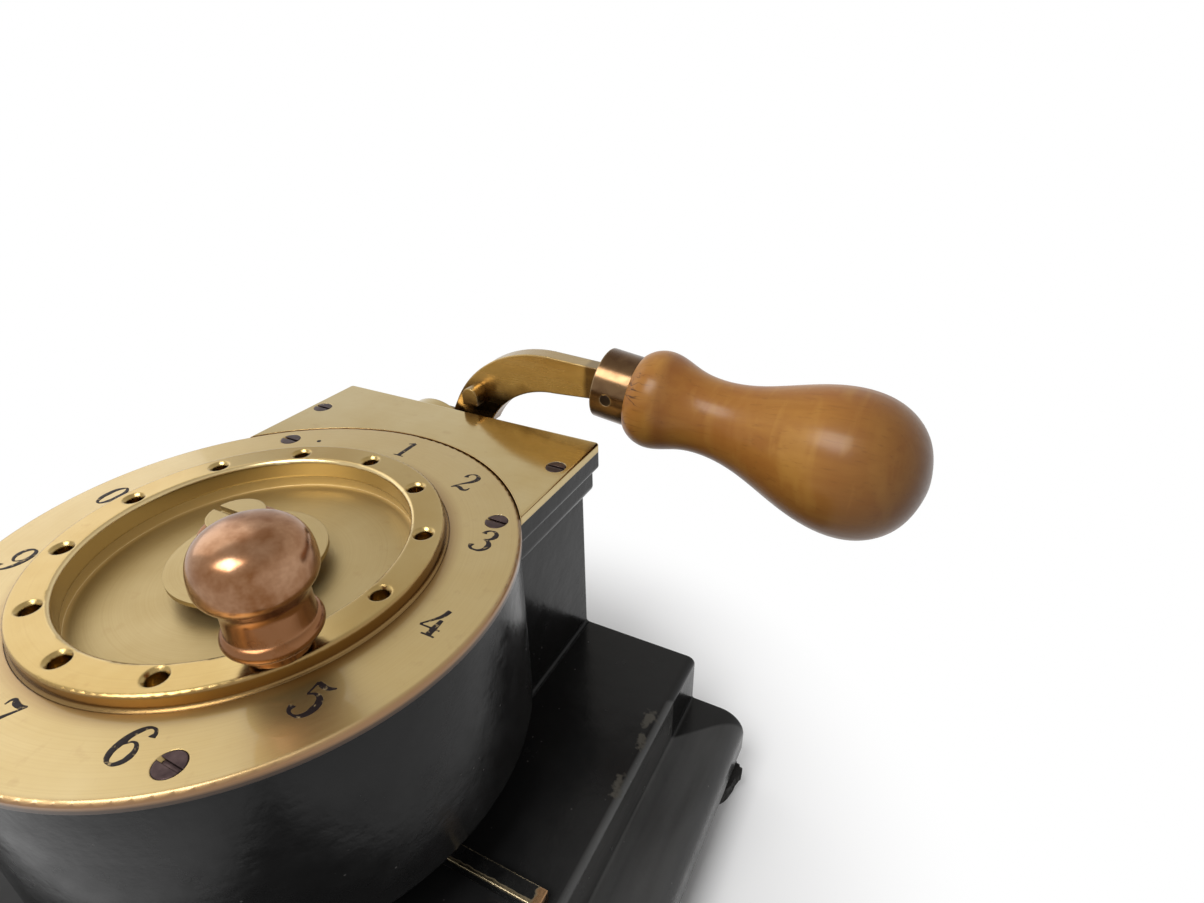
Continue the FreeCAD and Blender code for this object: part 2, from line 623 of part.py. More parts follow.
def make_dial():
    cover = doc.addObject("PartDesign::Body", "cover_sheet")
    cover_outline = rectangle(cover, "cover_outline", s.cover_half_width, s.cover_reach * 0, s.cover_reach,
                              drum_top)
    cover_blank = feature(cover, "Pad", "cover_blank", cover_outline, s.dial_thick)

    def is_rear_corner(box):
        return near(box.XMin, box.XMax) and near(box.YMin, s.cover_reach) and near(box.YMax, s.cover_reach)

    def is_top(box):
        return near(box.ZMin, plate_top) and near(box.ZMax, plate_top)

    cornered = rounded(cover, "cover_corners", cover_blank, s.cover_corner, is_rear_corner)
    rounded(cover, "cover_edge", cornered, s.cover_round, is_top)
    seam = cylinder("cover_seam", dial_radius + s.seat_fit, s.dial_thick, (0, 0, drum_top))
    cover_holes = holes("cover", cover_screw_places, "Z", s.small_head, s.small_shank, s.small_length)
    keep(cut("cover_plate", cover, [seam] + cover_holes))
    screws("cover_screws", cover_screw_places, "Z", s.small_head, s.small_shank, s.small_length)

    def is_circle(radius, level):
        return lambda box: near(box.ZMin, level) and near(box.ZMax, level) and near(box.XMax, radius)

    dial_inner = ring_outer + s.seat_fit
    body, spun = turned("dial_blank", [(dial_inner, drum_top), (dial_radius, drum_top),
                                       (dial_radius, plate_top), (dial_inner, plate_top)])
    rounded(body, "dial_rim", spun, s.dial_edge, is_circle(dial_radius, plate_top))
    dial_holes = holes("dial", dial_screw_places, "Z", s.small_head, s.small_shank, s.small_length)
    keep(cut("number_dial", body, dial_holes))
    screws("dial_screws", dial_screw_places, "Z", s.small_head, s.small_shank, s.small_length)

    seat = plate_top - s.ring_seat
    shoulder = s.index_radius + s.ring_shoulder
    body, spun = turned("index_ring", [(ring_inner, seat), (ring_outer, seat), (ring_outer, plate_top),
                                       (shoulder, plate_top), (shoulder, ring_top), (ring_inner, ring_top)])
    step = rounded(body, "ring_step", spun, s.ring_round, is_circle(shoulder, ring_top))
    coved = rounded(body, "ring_foot", step, s.ring_cove, is_circle(shoulder, plate_top))
    rounded(body, "ring_mouth", coved, s.ring_lip, is_circle(ring_inner, ring_top))
    centre = (s.index_radius * cosine(s.arm_angle), s.index_radius * sine(s.arm_angle))
    hole = feature(body, "Pocket", "index_hole",
                   circle(body, "index_hole_circle", centre, s.index_hole_radius, ring_top),
                   ring_top - seat)
    drilled = around(body, "index_holes", [hole], len(STATIONS))
    sunk = body.newObject("PartDesign::Chamfer", "index_sinks")
    sunk.Base = (drilled, [f"Edge{i}" for i, edge in enumerate(drilled.Shape.Edges, start=1)
                           if is_hole_mouth(edge, s.index_hole_radius, ring_top)])
    bind(sunk, "Size", s.index_sink)
    body.Tip = sunk
    keep(body)

    bush_seat = s.spindle_radius + s.bush_wall + s.seat_fit
    dish_wall = ring_inner + s.floor_step
    body, _ = turned("dial_floor", [
        (bush_seat, floor_bottom), (ring_outer, floor_bottom), (ring_outer, seat), (dish_wall, seat),
        (dish_wall, floor_top), (bush_seat, floor_top)])
    keep(body)


def make_selector():
    bush = s.spindle_radius + s.bush_wall
    bore = s.spindle_radius + s.running_fit
    keep(group("spindle_bushes", [
        ring("upper_bush", bush, bore, floor_top - web_bottom, (0, 0, web_bottom)),
        ring("lower_bush", bush, bore, s.guide_thick, (0, 0, guide_bottom)),
    ]))
    key_seat = s.key_width / 2
    key_low = wheel_bottom + s.nut_thick + s.key_width
    key_high = wheel_top
    spindle_low = wheel_bottom + s.seat_fit
    spindle = cylinder("spindle_bar", s.spindle_radius, arm_top - spindle_low, (0, 0, spindle_low))
    key_way = block("spindle_key_way", (-key_seat, s.spindle_radius - key_seat, key_low),
                    (key_seat, s.spindle_radius + key_seat, key_high))
    hub_screw_shank = s.spindle_radius * 0.6
    hub_screw_reach = s.arm_thick + s.hub_radius * 0.5
    tapped = cylinder("spindle_tap", hub_screw_shank + s.seat_fit, hub_screw_reach,
                      (0, 0, arm_top - hub_screw_reach))
    keep(cut("selector_spindle", spindle, [key_way, tapped]))
    keep(block("wheel_key", (-key_seat, s.spindle_radius - key_seat, key_low),
               (key_seat, s.spindle_radius + key_seat, key_high)))
    hub_low = floor_top + s.press_gap
    hub = fuse("hub_blank", [
        cylinder("hub_disc", s.hub_radius, s.hub_rim, (0, 0, plate_top - s.hub_rim)),
        cylinder("hub_neck", s.arm_eye_radius, arm_bottom - hub_low, (0, 0, hub_low)),
    ])
    hub_bore = cylinder("hub_bore", s.spindle_radius + s.running_fit, arm_bottom - hub_low, (0, 0, hub_low))
    keep(cut("selector_hub", hub, [hub_bore]))

    pin_x = s.index_radius * cosine(s.arm_angle)
    pin_y = s.index_radius * sine(s.arm_angle)
    side_x = s.arm_half_width * sine(s.arm_angle)
    side_y = s.arm_half_width * cosine(s.arm_angle)
    bar = doc.addObject("PartDesign::Body", "arm_bar")
    corners = [(side_x, -side_y), (pin_x + side_x, pin_y - side_y), (pin_x - side_x, pin_y + side_y),
               (-side_x, side_y)]
    arm_outline = outline(bar, "arm_outline", "XY_Plane", corners, arm_bottom)
    feature(bar, "Pad", "arm_length", arm_outline, s.arm_thick)
    arm = fuse("arm_blank", [
        bar,
        cylinder("arm_eye", s.arm_eye_radius, s.arm_thick, (0, 0, arm_bottom)),
        cylinder("arm_end", s.arm_end_radius, s.arm_thick, (pin_x, pin_y, arm_bottom)),
    ])
    keep(cut("selector_arm", arm, [
        cylinder("arm_bore", s.spindle_radius + s.running_fit, s.arm_thick, (0, 0, arm_bottom)),
        cylinder("arm_pin_bore", s.index_pin_radius + s.running_fit, s.arm_thick, (pin_x, pin_y, arm_bottom)),
    ]))
    cap = cylinder("hub_screw_cap", s.hub_screw_radius, s.hub_screw_height, (0, 0, arm_top))
    cap_slot = block("hub_screw_slot",
                     (-s.hub_screw_radius, -s.slot_width, arm_top + s.hub_screw_height * 0.6),
                     (s.hub_screw_radius, s.slot_width, arm_top + s.hub_screw_height))
    stem = cylinder("hub_screw_stem", hub_screw_shank, hub_screw_reach, (0, 0, arm_top - hub_screw_reach))
    keep(cut("hub_screw", fuse("hub_screw_blank", [cap, stem]), [cap_slot]))

    knob_low = arm_top + s.running_fit
    pin_low = ring_top - s.index_reach
    pin_high = knob_low + s.knob_height * 0.4
    keep(cylinder("index_pin", s.index_pin_radius, pin_high - pin_low, (pin_x, pin_y, pin_low)))
    keep(solid("index_knob", knob_shape(pin_high - knob_low)))
    nodes[-1].Placement = FreeCAD.Placement(vector(pin_x, pin_y, knob_low), FreeCAD.Rotation())


def knob_shape(bore_depth):
    """A slim toe, a bead, a waist and a domed bulb, bored from below for the index pin."""
    height = float(s.knob_height)
    toe = float(s.knob_toe_radius)
    foot = float(s.knob_foot_radius)
    neck = float(s.knob_neck_radius)
    bulb = float(s.knob_bulb_radius)
    bead = float(s.knob_bead)
    bead_low = float(s.knob_toe)
    toe_flat = toe - bead_low / 2
    bead_high = bead_low + bead
    groove = foot - bead * 0.3
    neck_level = bead_high + float(s.knob_waist)
    bulb_level = float(s.knob_bulb_level)

    def at(radius, level):
        return FreeCAD.Vector(radius, 0, level)

    def bend(*poles):
        curve = Part.BezierCurve()
        curve.setPoles([at(*pole) for pole in poles])
        return curve.toShape()

    reach = (bulb_level - neck_level) * 0.45
    dome = (height - bulb_level) * 0.8
    edges = [
        Part.makeLine(at(0, 0), at(toe_flat, 0)),
        Part.Arc(at(toe_flat, 0), at(toe, bead_low / 2), at(toe_flat, bead_low)).toShape(),
        Part.makeLine(at(toe_flat, bead_low), at(groove, bead_low)),
        Part.Arc(at(groove, bead_low), at(foot, (bead_low + bead_high) / 2), at(groove, bead_high)).toShape(),
        bend((groove, bead_high), ((groove + neck) / 2, bead_high), (neck, (bead_high + neck_level) / 2),
             (neck, neck_level)),
        bend((neck, neck_level), (neck, neck_level + reach), (bulb, bulb_level - reach), (bulb, bulb_level)),
        bend((bulb, bulb_level), (bulb, bulb_level + dome), (bulb * 0.68, height), (0, height)),
        Part.makeLine(at(0, height), at(0, 0)),
    ]
    knob = Part.Face(Part.Wire(edges)).revolve(at(0, 0), FreeCAD.Vector(0, 0, 1), 360)
    return knob.cut(Part.makeCylinder(float(s.index_pin_radius), float(bore_depth)))


def make_punch_wheel():
    bore = s.spindle_radius + s.running_fit
    recess_top = wheel_bottom + s.nut_thick
    boss_top = guide_bottom - s.press_gap
    body, _ = turned("wheel_blank", [
        (bore, recess_top), (s.nut_recess_radius, recess_top), (s.nut_recess_radius, wheel_bottom),
        (wheel_radius, wheel_bottom), (wheel_radius, wheel_top), (s.wheel_boss_radius, wheel_top),
        (s.wheel_boss_radius, boss_top), (bore, boss_top)])
    centre = (s.station_radius * 0, station_y)
    well = feature(body, "Pocket", "punch_well",
                   circle(body, "well_circle", centre, s.punch_head_radius + s.head_room, wheel_top),
                   wheel_top - bore_floor)
    guide = feature(body, "Pocket", "punch_bore",
                    circle(body, "bore_circle", centre, s.punch_radius + s.running_fit, wheel_top),
                    s.wheel_thick)
    around(body, "stations", [well, guide], len(STATIONS))
    key_seat = s.key_width / 2
    key_way = block("wheel_key_way", (-key_seat, s.spindle_radius * 0, recess_top + s.key_width),
                    (key_seat, s.spindle_radius + key_seat, wheel_top))
    keep(cut("punch_wheel", body, [key_way]))
    nut_low = wheel_bottom + s.seat_fit
    nut = hexagon("wheel_nut_blank", s.nut_radius, s.nut_thick - s.seat_fit * 2, (0, 0, nut_low))
    thread = cylinder("wheel_nut_thread", s.spindle_radius, s.nut_thick, (0, 0, nut_low))
    keep(cut("wheel_nut", nut, [thread]))

    coil_radius = (s.punch_radius + s.punch_head_radius + s.head_room) / 2
    coil = spring_shape(coil_radius, s.punch_wire, head_bottom - bore_floor, s.punch_turns)
    punches = {"set": [], "idle": []}
    coils = {"set": [], "idle": []}
    set_step = STATIONS.index(SET_NUMERAL)
    for step, numeral in enumerate(STATIONS):
        turn = float(s.arm_angle) - float(s.first_angle) + step * float(s.index_turn)
        under_foot = (step - set_step) % (len(STATIONS) // PRESSER_FEET) == 0
        kind = "set" if under_foot else "idle"
        punches[kind].append(placed(punch_shape(GLYPHS[numeral]), turn, punch_bottom))
        coils[kind].append(placed(coil, turn, bore_floor))
    for kind in punches:
        keep(solid(f"{kind}_punches", Part.makeCompound(punches[kind])))
        keep(solid(f"{kind}_springs", Part.makeCompound(coils[kind])))


def placed(shape, turn, height):
    """A copy of a piece made at the origin, moved to the front station and turned about the dial's axis."""
    copy = shape.copy()
    copy.translate(vector(0, station_y, height))
    copy.rotate(FreeCAD.Vector(0, 0, 0), FreeCAD.Vector(0, 0, 1), turn)
    return copy


def punch_shape(glyph):
    """A headed punch with one pin for each dot of its numeral, mirrored to read right in the paper."""
    pitch = float(s.pin_pitch)
    length = float(s.pin_length)
    shank = Part.makeCylinder(float(s.punch_radius), float(head_bottom - punch_bottom))
    head = Part.makeCylinder(float(s.punch_head_radius), float(s.punch_head_thick),
                             vector(0, 0, head_bottom - punch_bottom))
    pins = []
    for j, line in enumerate(glyph.split()):
        for i, dot in enumerate(line):
            if dot == "X":
                corner = FreeCAD.Vector((i - 2) * pitch, (3 - j) * pitch, -length)
                pins.append(Part.makeCylinder(float(s.pin_radius), length, corner))
    return shank.fuse([head] + pins).removeSplitter()


def spring_shape(radius, wire, height, turns):
    """An open coil between two flat seats, as quarter-turn arcs with a round wire."""
    radius = float(radius)
    wire_radius = float(wire) / 2
    low = wire_radius
    rise = float(height) - 2 * wire_radius
    quarters = round(float(turns) * 4)

    def point(quarter):
        angle = quarter * math.pi / 2
        level = low + rise * quarter / quarters
        return FreeCAD.Vector(radius * math.cos(angle), radius * math.sin(angle), level)

    arcs = [Part.Arc(point(k), point(k + 0.5), point(k + 1)).toShape() for k in range(quarters)]
    section = Part.Wire([Part.makeCircle(wire_radius, point(0), FreeCAD.Vector(0, 1, 0))])
    return Part.Wire(arcs).makePipeShell([section], True, False)


def make_presser():
    hub = s.spindle_radius + s.bush_wall + s.seat_fit
    bush = s.plunger_radius + s.shaft_bush_wall
    plate = cylinder("guide_disc", room_radius - s.seat_fit, s.guide_thick, (0, 0, guide_bottom))
    station = (s.station_radius * 0, station_y)
    tools = [
        cylinder("guide_spindle_bore", hub, s.guide_thick, (0, 0, guide_bottom)),
        cylinder("guide_plunger_bore", bush + s.seat_fit, s.guide_thick, station + (guide_bottom,)),
    ]
    tools += holes("guide", guide_screw_places, "Z", s.tiny_head, s.tiny_shank, guide_screw_length)
    keep(cut("guide_plate", plate, tools))
    screws("guide_screws", guide_screw_places, "Z", s.tiny_head, s.tiny_shank, guide_screw_length)
    keep(ring("plunger_bush", bush, s.plunger_radius + s.running_fit, s.guide_thick,
              station + (guide_bottom,)))
    keep(fuse("plunger_rod", [
        cylinder("plunger_head", s.plunger_head_radius, s.plunger_head_thick, station + (plunger_seat,)),
        cylinder("plunger_stem", s.plunger_radius, plunger_seat - presser_top, station + (presser_top,)),
        cylinder("plunger_spigot", s.spigot_radius, presser_top - presser_bottom,
                 station + (presser_bottom,)),
    ]))
    keep(presser(station))
    coil = spring_shape(s.spring_radius, s.spring_wire, plunger_seat - guide_top, s.spring_turns)
    keep(solid("return_spring", coil))
    nodes[-1].Placement = FreeCAD.Placement(vector(0, station_y, guide_top), FreeCAD.Rotation())


def presser(station):
    """A cross with a foot over every quarter of the wheel, so that the wheel is pressed evenly."""
    reach = s.station_radius
    half = s.presser_arm
    arms = [
        block("presser_across", (-reach, -half, arms_bottom), (reach, half, presser_top)),
        block("presser_along", (-half, -reach, arms_bottom), (half, reach, presser_top)),
        cylinder("presser_middle", s.presser_ring, s.presser_thick, (0, 0, arms_bottom)),
    ]
    for i in range(PRESSER_FEET):
        place = polar(reach, 90 * i) + (presser_bottom,)
        arms.append(cylinder(f"presser_foot_{i}", s.presser_foot, presser_top - presser_bottom, place))
    boss_bore = cylinder("presser_bore", s.wheel_boss_radius + s.head_room, s.presser_thick,
                         (0, 0, arms_bottom))
    rod_bore = cylinder("presser_rod_bore", s.spigot_radius, presser_top - presser_bottom,
                        station + (presser_bottom,))
    return cut("presser", fuse("presser_blank", arms), [boss_bore, rod_bore])


def make_rock_shaft():
    bush = s.shaft_radius + s.shaft_bush_wall
    bore = s.shaft_radius + s.running_fit
    inner_end = room_radius * 0.96
    inner_length = s.tower_wall * 1.2
    rear_start = tower_rear - s.tower_wall
    keep(group("shaft_bushes", [
        ring("inner_bush", bush, bore, inner_length, (shaft_x, inner_end, shaft_z), "Y"),
        ring("rear_bush", bush, bore, lug_rear - rear_start, (shaft_x, rear_start, shaft_z), "Y"),
    ]))
    shaft_front = -(room_radius + s.drum_wall * 0.2)
    shaft_rear = bar_rear + s.nut_thick + s.washer_thick
    rocker_low = station_y - s.rocker_width / 2
    pin_half = s.rocker_hub_radius * 0.96
    pin_place = (shaft_x, station_y, shaft_z - pin_half)
    pin_tools = [cylinder(f"{name}_pin_hole", s.rocker_pin_radius, pin_half * 2, pin_place)
                 for name in ("shaft", "rocker")]
    shaft = cylinder("shaft_bar", s.shaft_radius, shaft_rear - shaft_front,
                     (shaft_x, shaft_front, shaft_z), "Y")
    keep(cut("rock_shaft", shaft, [pin_tools[0]]))
    rocker = fuse("rocker_blank", [
        cylinder("rocker_hub", s.rocker_hub_radius, s.rocker_width, (shaft_x, rocker_low, shaft_z), "Y"),
        block("rocker_beam", (shaft_x, rocker_low, shaft_z - s.nose_radius),
              (s.shaft_offset * 0, rocker_low + s.rocker_width, shaft_z + s.nose_radius)),
        cylinder("rocker_nose", s.nose_radius, s.rocker_width,
                 (s.shaft_offset * 0, rocker_low, shaft_z), "Y"),
    ])
    rocker_bore = cylinder("rocker_bore", s.shaft_radius, s.rocker_width, (shaft_x, rocker_low, shaft_z), "Y")
    keep(cut("rocker_arm", rocker, [rocker_bore, pin_tools[1]]))
    keep(cylinder("rocker_pin", s.rocker_pin_radius, pin_half * 2, pin_place))


def stop_height():
    """How high the stop's lowest corner is with the lever fully down."""
    rise = s.stop_rise + s.shaft_drop - s.stop_foot
    reach = s.shaft_offset + s.stop_radius
    return shaft_z + rise * cosine(s.lever_swing) - reach * sine(s.lever_swing)


def make_pivot_bracket():
    shelf_top = stop_height() - s.press_gap
    shelf_left = shaft_x + s.lug_radius * 0.9
    bracket = fuse("bracket_blank", [
        cylinder("bracket_lug", s.lug_radius, s.lug_thick, (shaft_x, lug_front, shaft_z), "Y"),
        block("bracket_foot", (bracket_left, tower_rear, bracket_low), (bracket_right, lug_rear, shaft_z)),
        block("bracket_shelf", (shelf_left, tower_rear, shaft_z - s.lug_thick),
              (bracket_right, lug_rear, shelf_top)),
    ])
    bore = cylinder("bracket_bore", s.shaft_radius + s.shaft_bush_wall, lug_rear - tower_rear,
                    (shaft_x, tower_rear, shaft_z), "Y")
    tools = holes("bracket", bracket_screw_places, "Y", s.small_head, s.small_shank, bracket_screw_length)
    keep(cut("pivot_bracket", bracket, [bore] + tools))
    screws("bracket_screws", bracket_screw_places, "Y", s.small_head, s.small_shank, bracket_screw_length)


def bar_outline():
    """The gooseneck bar seen from the front: a bend, then a taper into the ferrule."""
    middle = FreeCAD.Vector(float(s.bend_x), 0, float(plate_top - s.bend_drop))
    inside = float(s.bend_inside)
    outside = inside + float(s.bar_width)
    flare = float(s.bar_flare)
    end_x = float(s.grip_x)
    end_z = float(plate_top + s.grip_rise)
    half_end = float(s.bar_end_width) / 2
    eye = vector(shaft_x, 0, shaft_z)

    def on_bend(radius, degrees):
        angle = math.radians(degrees)
        return middle + FreeCAD.Vector(-radius * math.sin(angle), 0, radius * math.cos(angle))

    start = float(s.bend_start)
    outer = [on_bend(outside + flare, start), on_bend(outside + flare, start / 2), on_bend(outside, 0)]
    inner = [on_bend(inside, 0), on_bend(inside - flare / 4, start / 2), on_bend(inside - flare, start)]
    tip = [FreeCAD.Vector(end_x, 0, end_z + half_end), FreeCAD.Vector(end_x, 0, end_z - half_end)]
    edges = [
        Part.Arc(*outer).toShape(),
        Part.makeLine(outer[2], tip[0]),
        Part.makeLine(tip[0], tip[1]),
        Part.makeLine(tip[1], inner[0]),
        Part.Arc(*inner).toShape(),
        Part.makeLine(inner[2], eye),
        Part.makeLine(eye, outer[0]),
    ]
    return Part.Face(Part.Wire(edges))


def grip_placement():
    """The handle's own frame: z runs along the grip, from the ferrule's inner end."""
    middle = (bar_front + bar_rear) / 2
    lean = FreeCAD.Rotation(FreeCAD.Vector(0, 1, 0), 90 + float(s.grip_slope))
    return FreeCAD.Placement(vector(s.grip_x, middle, plate_top + s.grip_rise), lean)


def make_lever():
    thick = float(s.bar_thick)
    front = float(bar_front)
    slab = bar_outline()
    slab.translate(FreeCAD.Vector(0, front, 0))
    bar = slab.extrude(FreeCAD.Vector(0, thick, 0))
    eye = Part.makeCylinder(float(s.eye_radius), thick, vector(shaft_x, front, shaft_z),
                            FreeCAD.Vector(0, 1, 0))
    bore = Part.makeCylinder(float(s.shaft_radius + s.running_fit), thick, vector(shaft_x, front, shaft_z),
                             FreeCAD.Vector(0, 1, 0))
    tang = Part.makeCylinder(float(s.tang_radius), float(s.tang_length))
    tang.Placement = grip_placement()
    cross = Part.makeCylinder(float(s.ferrule_pin_radius), float(s.ferrule_radius) * 2)
    cross.Placement = grip_placement().multiply(ferrule_pin_placement())
    stop_hole = Part.makeCylinder(float(s.stop_radius) * 0.7, thick,
                                  vector(0, front, plate_top + s.stop_rise), FreeCAD.Vector(0, 1, 0))
    keep(solid("lever_arm", bar.fuse([eye, tang]).removeSplitter().cut([bore, cross, stop_hole])))
    zero = s.shaft_offset * 0
    stop_z = plate_top + s.stop_rise
    keep(fuse("stop_pin", [
        cylinder("stop_pin_nose", s.stop_radius, s.stop_length,
                 (zero, bar_front - s.stop_length, stop_z), "Y"),
        block("stop_pin_foot", (-s.stop_radius, bar_front - s.stop_length, stop_z - s.stop_foot),
              (s.stop_radius, bar_front, stop_z)),
        cylinder("stop_pin_rivet", s.stop_radius * 0.7, s.bar_thick, (zero, bar_front, stop_z), "Y"),
    ]))
    keep(ring("lever_washer", s.washer_radius, s.shaft_radius + s.running_fit, s.washer_thick,
              (shaft_x, lug_rear + s.bar_gap, shaft_z), "Y"))
    nut = hexagon("lever_nut_blank", s.lever_nut_radius, s.nut_thick, (shaft_x, bar_rear, shaft_z), "Y")
    keep(cut("lever_nut", nut, [cylinder("lever_nut_thread", s.shaft_radius, s.nut_thick,
                                         (shaft_x, bar_rear, shaft_z), "Y")]))


def ferrule_pin_placement():
    """The cross pin through ferrule and tang, in the handle's frame, seen on the near side."""
    turn = FreeCAD.Rotation(FreeCAD.Vector(1, 0, 0), 90)
    return FreeCAD.Placement(vector(0, s.ferrule_radius, s.ferrule_length * 0.45), turn)


def make_handle():
    place = grip_placement()
    ferrule = ring("ferrule_tube", s.ferrule_radius, s.tang_radius + s.running_fit, s.ferrule_length,
                   (0, 0, 0))
    slot_half = s.bar_end_width / 2 + s.seat_fit
    doc.recompute()
    tube = ferrule.Shape.copy()
    tube.Placement = place
    pin = Part.makeCylinder(float(s.ferrule_pin_radius), float(s.ferrule_radius) * 2)
    pin.Placement = place.multiply(ferrule_pin_placement())
    mouth = Part.makeBox(2 * float(slot_half), float(s.bar_thick + s.seat_fit * 2),
                         float(s.ferrule_length) * 0.3,
                         vector(-slot_half, -(s.bar_thick / 2 + s.seat_fit), -s.ferrule_length * 0.1))
    mouth.Placement = place
    keep(solid("ferrule", tube.cut([pin, mouth])))
    inside = Part.makeCylinder(float(s.ferrule_radius), float(s.ferrule_length))
    inside.Placement = place
    keep(solid("ferrule_pin", pin.common(inside)))
    grip = grip_shape()
    grip.Placement = place
    keep(solid("wood_handle", grip))


def grip_shape():
    """A pear-shaped turned grip: collar bead, waist and bulb, bored for the tang."""
    start = float(s.ferrule_length)
    length = float(s.grip_length)
    collar = float(s.collar_radius)
    neck = float(s.neck_radius)
    bulb = float(s.bulb_radius)
    profile = (
        (collar * 0.82, 0.0), (collar * 0.94, 0.03), (collar, 0.075), (collar * 0.95, 0.13),
        (neck * 1.07, 0.2), (neck, 0.285), (neck * 1.12, 0.4), (bulb * 0.75, 0.5),
        (bulb * 0.9, 0.605), (bulb, 0.75), (bulb * 0.92, 0.858),
        (bulb * 0.62, 0.952), (bulb * 0.3, 0.988), (0.0, 1.0),
    )
    points = [FreeCAD.Vector(radius, 0, start + share * length) for radius, share in profile]
    curve = Part.BSplineCurve()
    curve.interpolate(points)
    corners = [points[-1], FreeCAD.Vector(0, 0, start), points[0]]
    lines = [Part.makeLine(a, b) for a, b in zip(corners, corners[1:])]
    face = Part.Face(Part.Wire([curve.toShape()] + lines))
    grip = face.revolve(FreeCAD.Vector(0, 0, 0), FreeCAD.Vector(0, 0, 1), 360)
    bore = Part.makeCylinder(float(s.tang_radius + s.running_fit), float(s.tang_length + s.seat_fit))
    return grip.cut(bore)


def make_die():
    blank = block("die_blank", (-s.die_half_width, station_y - s.die_half_depth, die_top - s.die_thick),
                  (s.die_half_width, station_y + s.die_half_depth, die_top))
    tools = holes("die", die_screw_places, "Z", s.small_head, s.small_shank, die_screw_length)
    die_bottom = die_top - s.die_thick
    tools.append(block("die_relief", (-s.chute_half_width, station_y - s.chute_half_depth, die_bottom),
                       (s.chute_half_width, station_y + s.chute_half_depth, die_bottom + s.die_relief)))
    for i in range(5):
        for j in range(7):
            place = (s.pin_pitch * (i - 2), station_y + s.pin_pitch * (j - 3), die_top - s.die_thick)
            tools.append(cylinder(f"die_hole_{i}_{j}", s.die_hole_radius, s.die_thick, place))
    keep(cut("die_plate", blank, tools))
    screws("die_screws", die_screw_places, "Z", s.small_head, s.small_shank, die_screw_length)
    fence = block("fence_bar", (-s.fence_half_length, -s.fence_front, base_top),
                  (s.fence_half_length, s.fence_width - s.fence_front, base_top + s.fence_height))
    fence_holes = holes("fence", fence_screw_places, "Z", s.tiny_head, s.tiny_shank, s.small_length)
    keep(cut("paper_fence", fence, fence_holes))
    screws("fence_screws", fence_screw_places, "Z", s.tiny_head, s.tiny_shank, s.small_length)


def check_and_write():
    doc.recompute()
    broken = [obj.Label for obj in doc.Objects if "Invalid" in obj.State or "Error" in obj.State]
    broken += [obj.Label for obj in nodes if obj.Shape.isNull() or not obj.Shape.isValid()]
    if broken:
        raise RuntimeError("not built: " + ", ".join(broken))
    os.makedirs("parts", exist_ok=True)
    for obj in nodes:
        obj.Shape.exportStep(f"parts/{obj.Label}.step")
    print(len(nodes), "pieces")
    print("presser stroke in mm:", round(float(stroke), 3))


make_base_casting()
make_base_fittings()
make_body_casting()
make_dial()
make_selector()
make_punch_wheel()
make_presser()
make_rock_shaft()
make_pivot_bracket()
make_lever()
make_handle()
make_die()
check_and_write()
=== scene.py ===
# %% [markdown]
# # A dial perforating press
# This file dresses the solid model of an old desk press. A knob chooses a numeral on a brass dial,
# and a hand lever with a pear-shaped wooden grip presses that numeral as small holes into a cheque.
# The solids come in ready made and stay where they are. What is left to do here is the camera, the
# light, the finishes, and the few things that a plain solid can't show: paint, torn rubber, and
# springs that shorten.

# %% The frame and its box
import math

import bpy
from mathutils import Matrix, Vector


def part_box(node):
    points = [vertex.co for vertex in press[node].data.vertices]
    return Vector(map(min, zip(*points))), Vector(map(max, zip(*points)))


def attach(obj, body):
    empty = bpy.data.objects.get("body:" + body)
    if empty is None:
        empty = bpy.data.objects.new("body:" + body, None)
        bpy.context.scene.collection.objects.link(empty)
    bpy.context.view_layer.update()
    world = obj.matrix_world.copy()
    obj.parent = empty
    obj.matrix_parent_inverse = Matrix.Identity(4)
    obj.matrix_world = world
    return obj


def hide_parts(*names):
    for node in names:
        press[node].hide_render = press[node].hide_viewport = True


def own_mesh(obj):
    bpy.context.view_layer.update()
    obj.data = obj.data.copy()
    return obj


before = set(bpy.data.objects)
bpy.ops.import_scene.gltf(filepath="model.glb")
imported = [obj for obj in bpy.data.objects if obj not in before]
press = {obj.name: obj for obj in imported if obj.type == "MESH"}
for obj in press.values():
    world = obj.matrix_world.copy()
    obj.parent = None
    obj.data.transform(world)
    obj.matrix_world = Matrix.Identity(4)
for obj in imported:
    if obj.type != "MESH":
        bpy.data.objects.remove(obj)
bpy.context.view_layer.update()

scene = bpy.context.scene
print("pieces in the frame:", len(press))

# %% [markdown]
# ## The camera
# A close lens stands to the right of the press and looks down on the dial. Its place was worked out
# from the circles of the dial and the corners of the plate behind it, so the turn, the tilt and a
# slight lean are set as one matrix. Pointing a camera with a constraint would be quicker, but it
# would lose the lean.

# %% Camera
LENS_TURN = math.radians(27.630)
LENS_TILT = math.radians(29.272)
LENS_LEAN = math.radians(-0.904)
LENS_PLACE = Vector((0.12766, -0.07500, 0.20571))
LENS_LENGTH = 21.1475
SENSOR_WIDTH = 36
NEAREST_SEEN = 0.01

backwards = Vector((
    math.sin(LENS_TURN) * math.cos(LENS_TILT),
    -math.cos(LENS_TURN) * math.cos(LENS_TILT),
    math.sin(LENS_TILT),
))
level = Vector((0, 0, 1)).cross(backwards).normalized()
upright = backwards.cross(level)
across = level * math.cos(LENS_LEAN) + upright * math.sin(LENS_LEAN)
upward = upright * math.cos(LENS_LEAN) - level * math.sin(LENS_LEAN)

bpy.ops.object.select_all(action="DESELECT")
bpy.ops.object.camera_add()
camera = bpy.context.object
camera.name = "camera"
camera.data.sensor_width = SENSOR_WIDTH
camera.data.lens = LENS_LENGTH
camera.data.clip_start = NEAREST_SEEN
camera.matrix_world = Matrix((across, upward, backwards)).transposed().to_4x4()
camera.location = LENS_PLACE
scene.camera = camera
print("lens in mm:", round(camera.data.lens, 2))

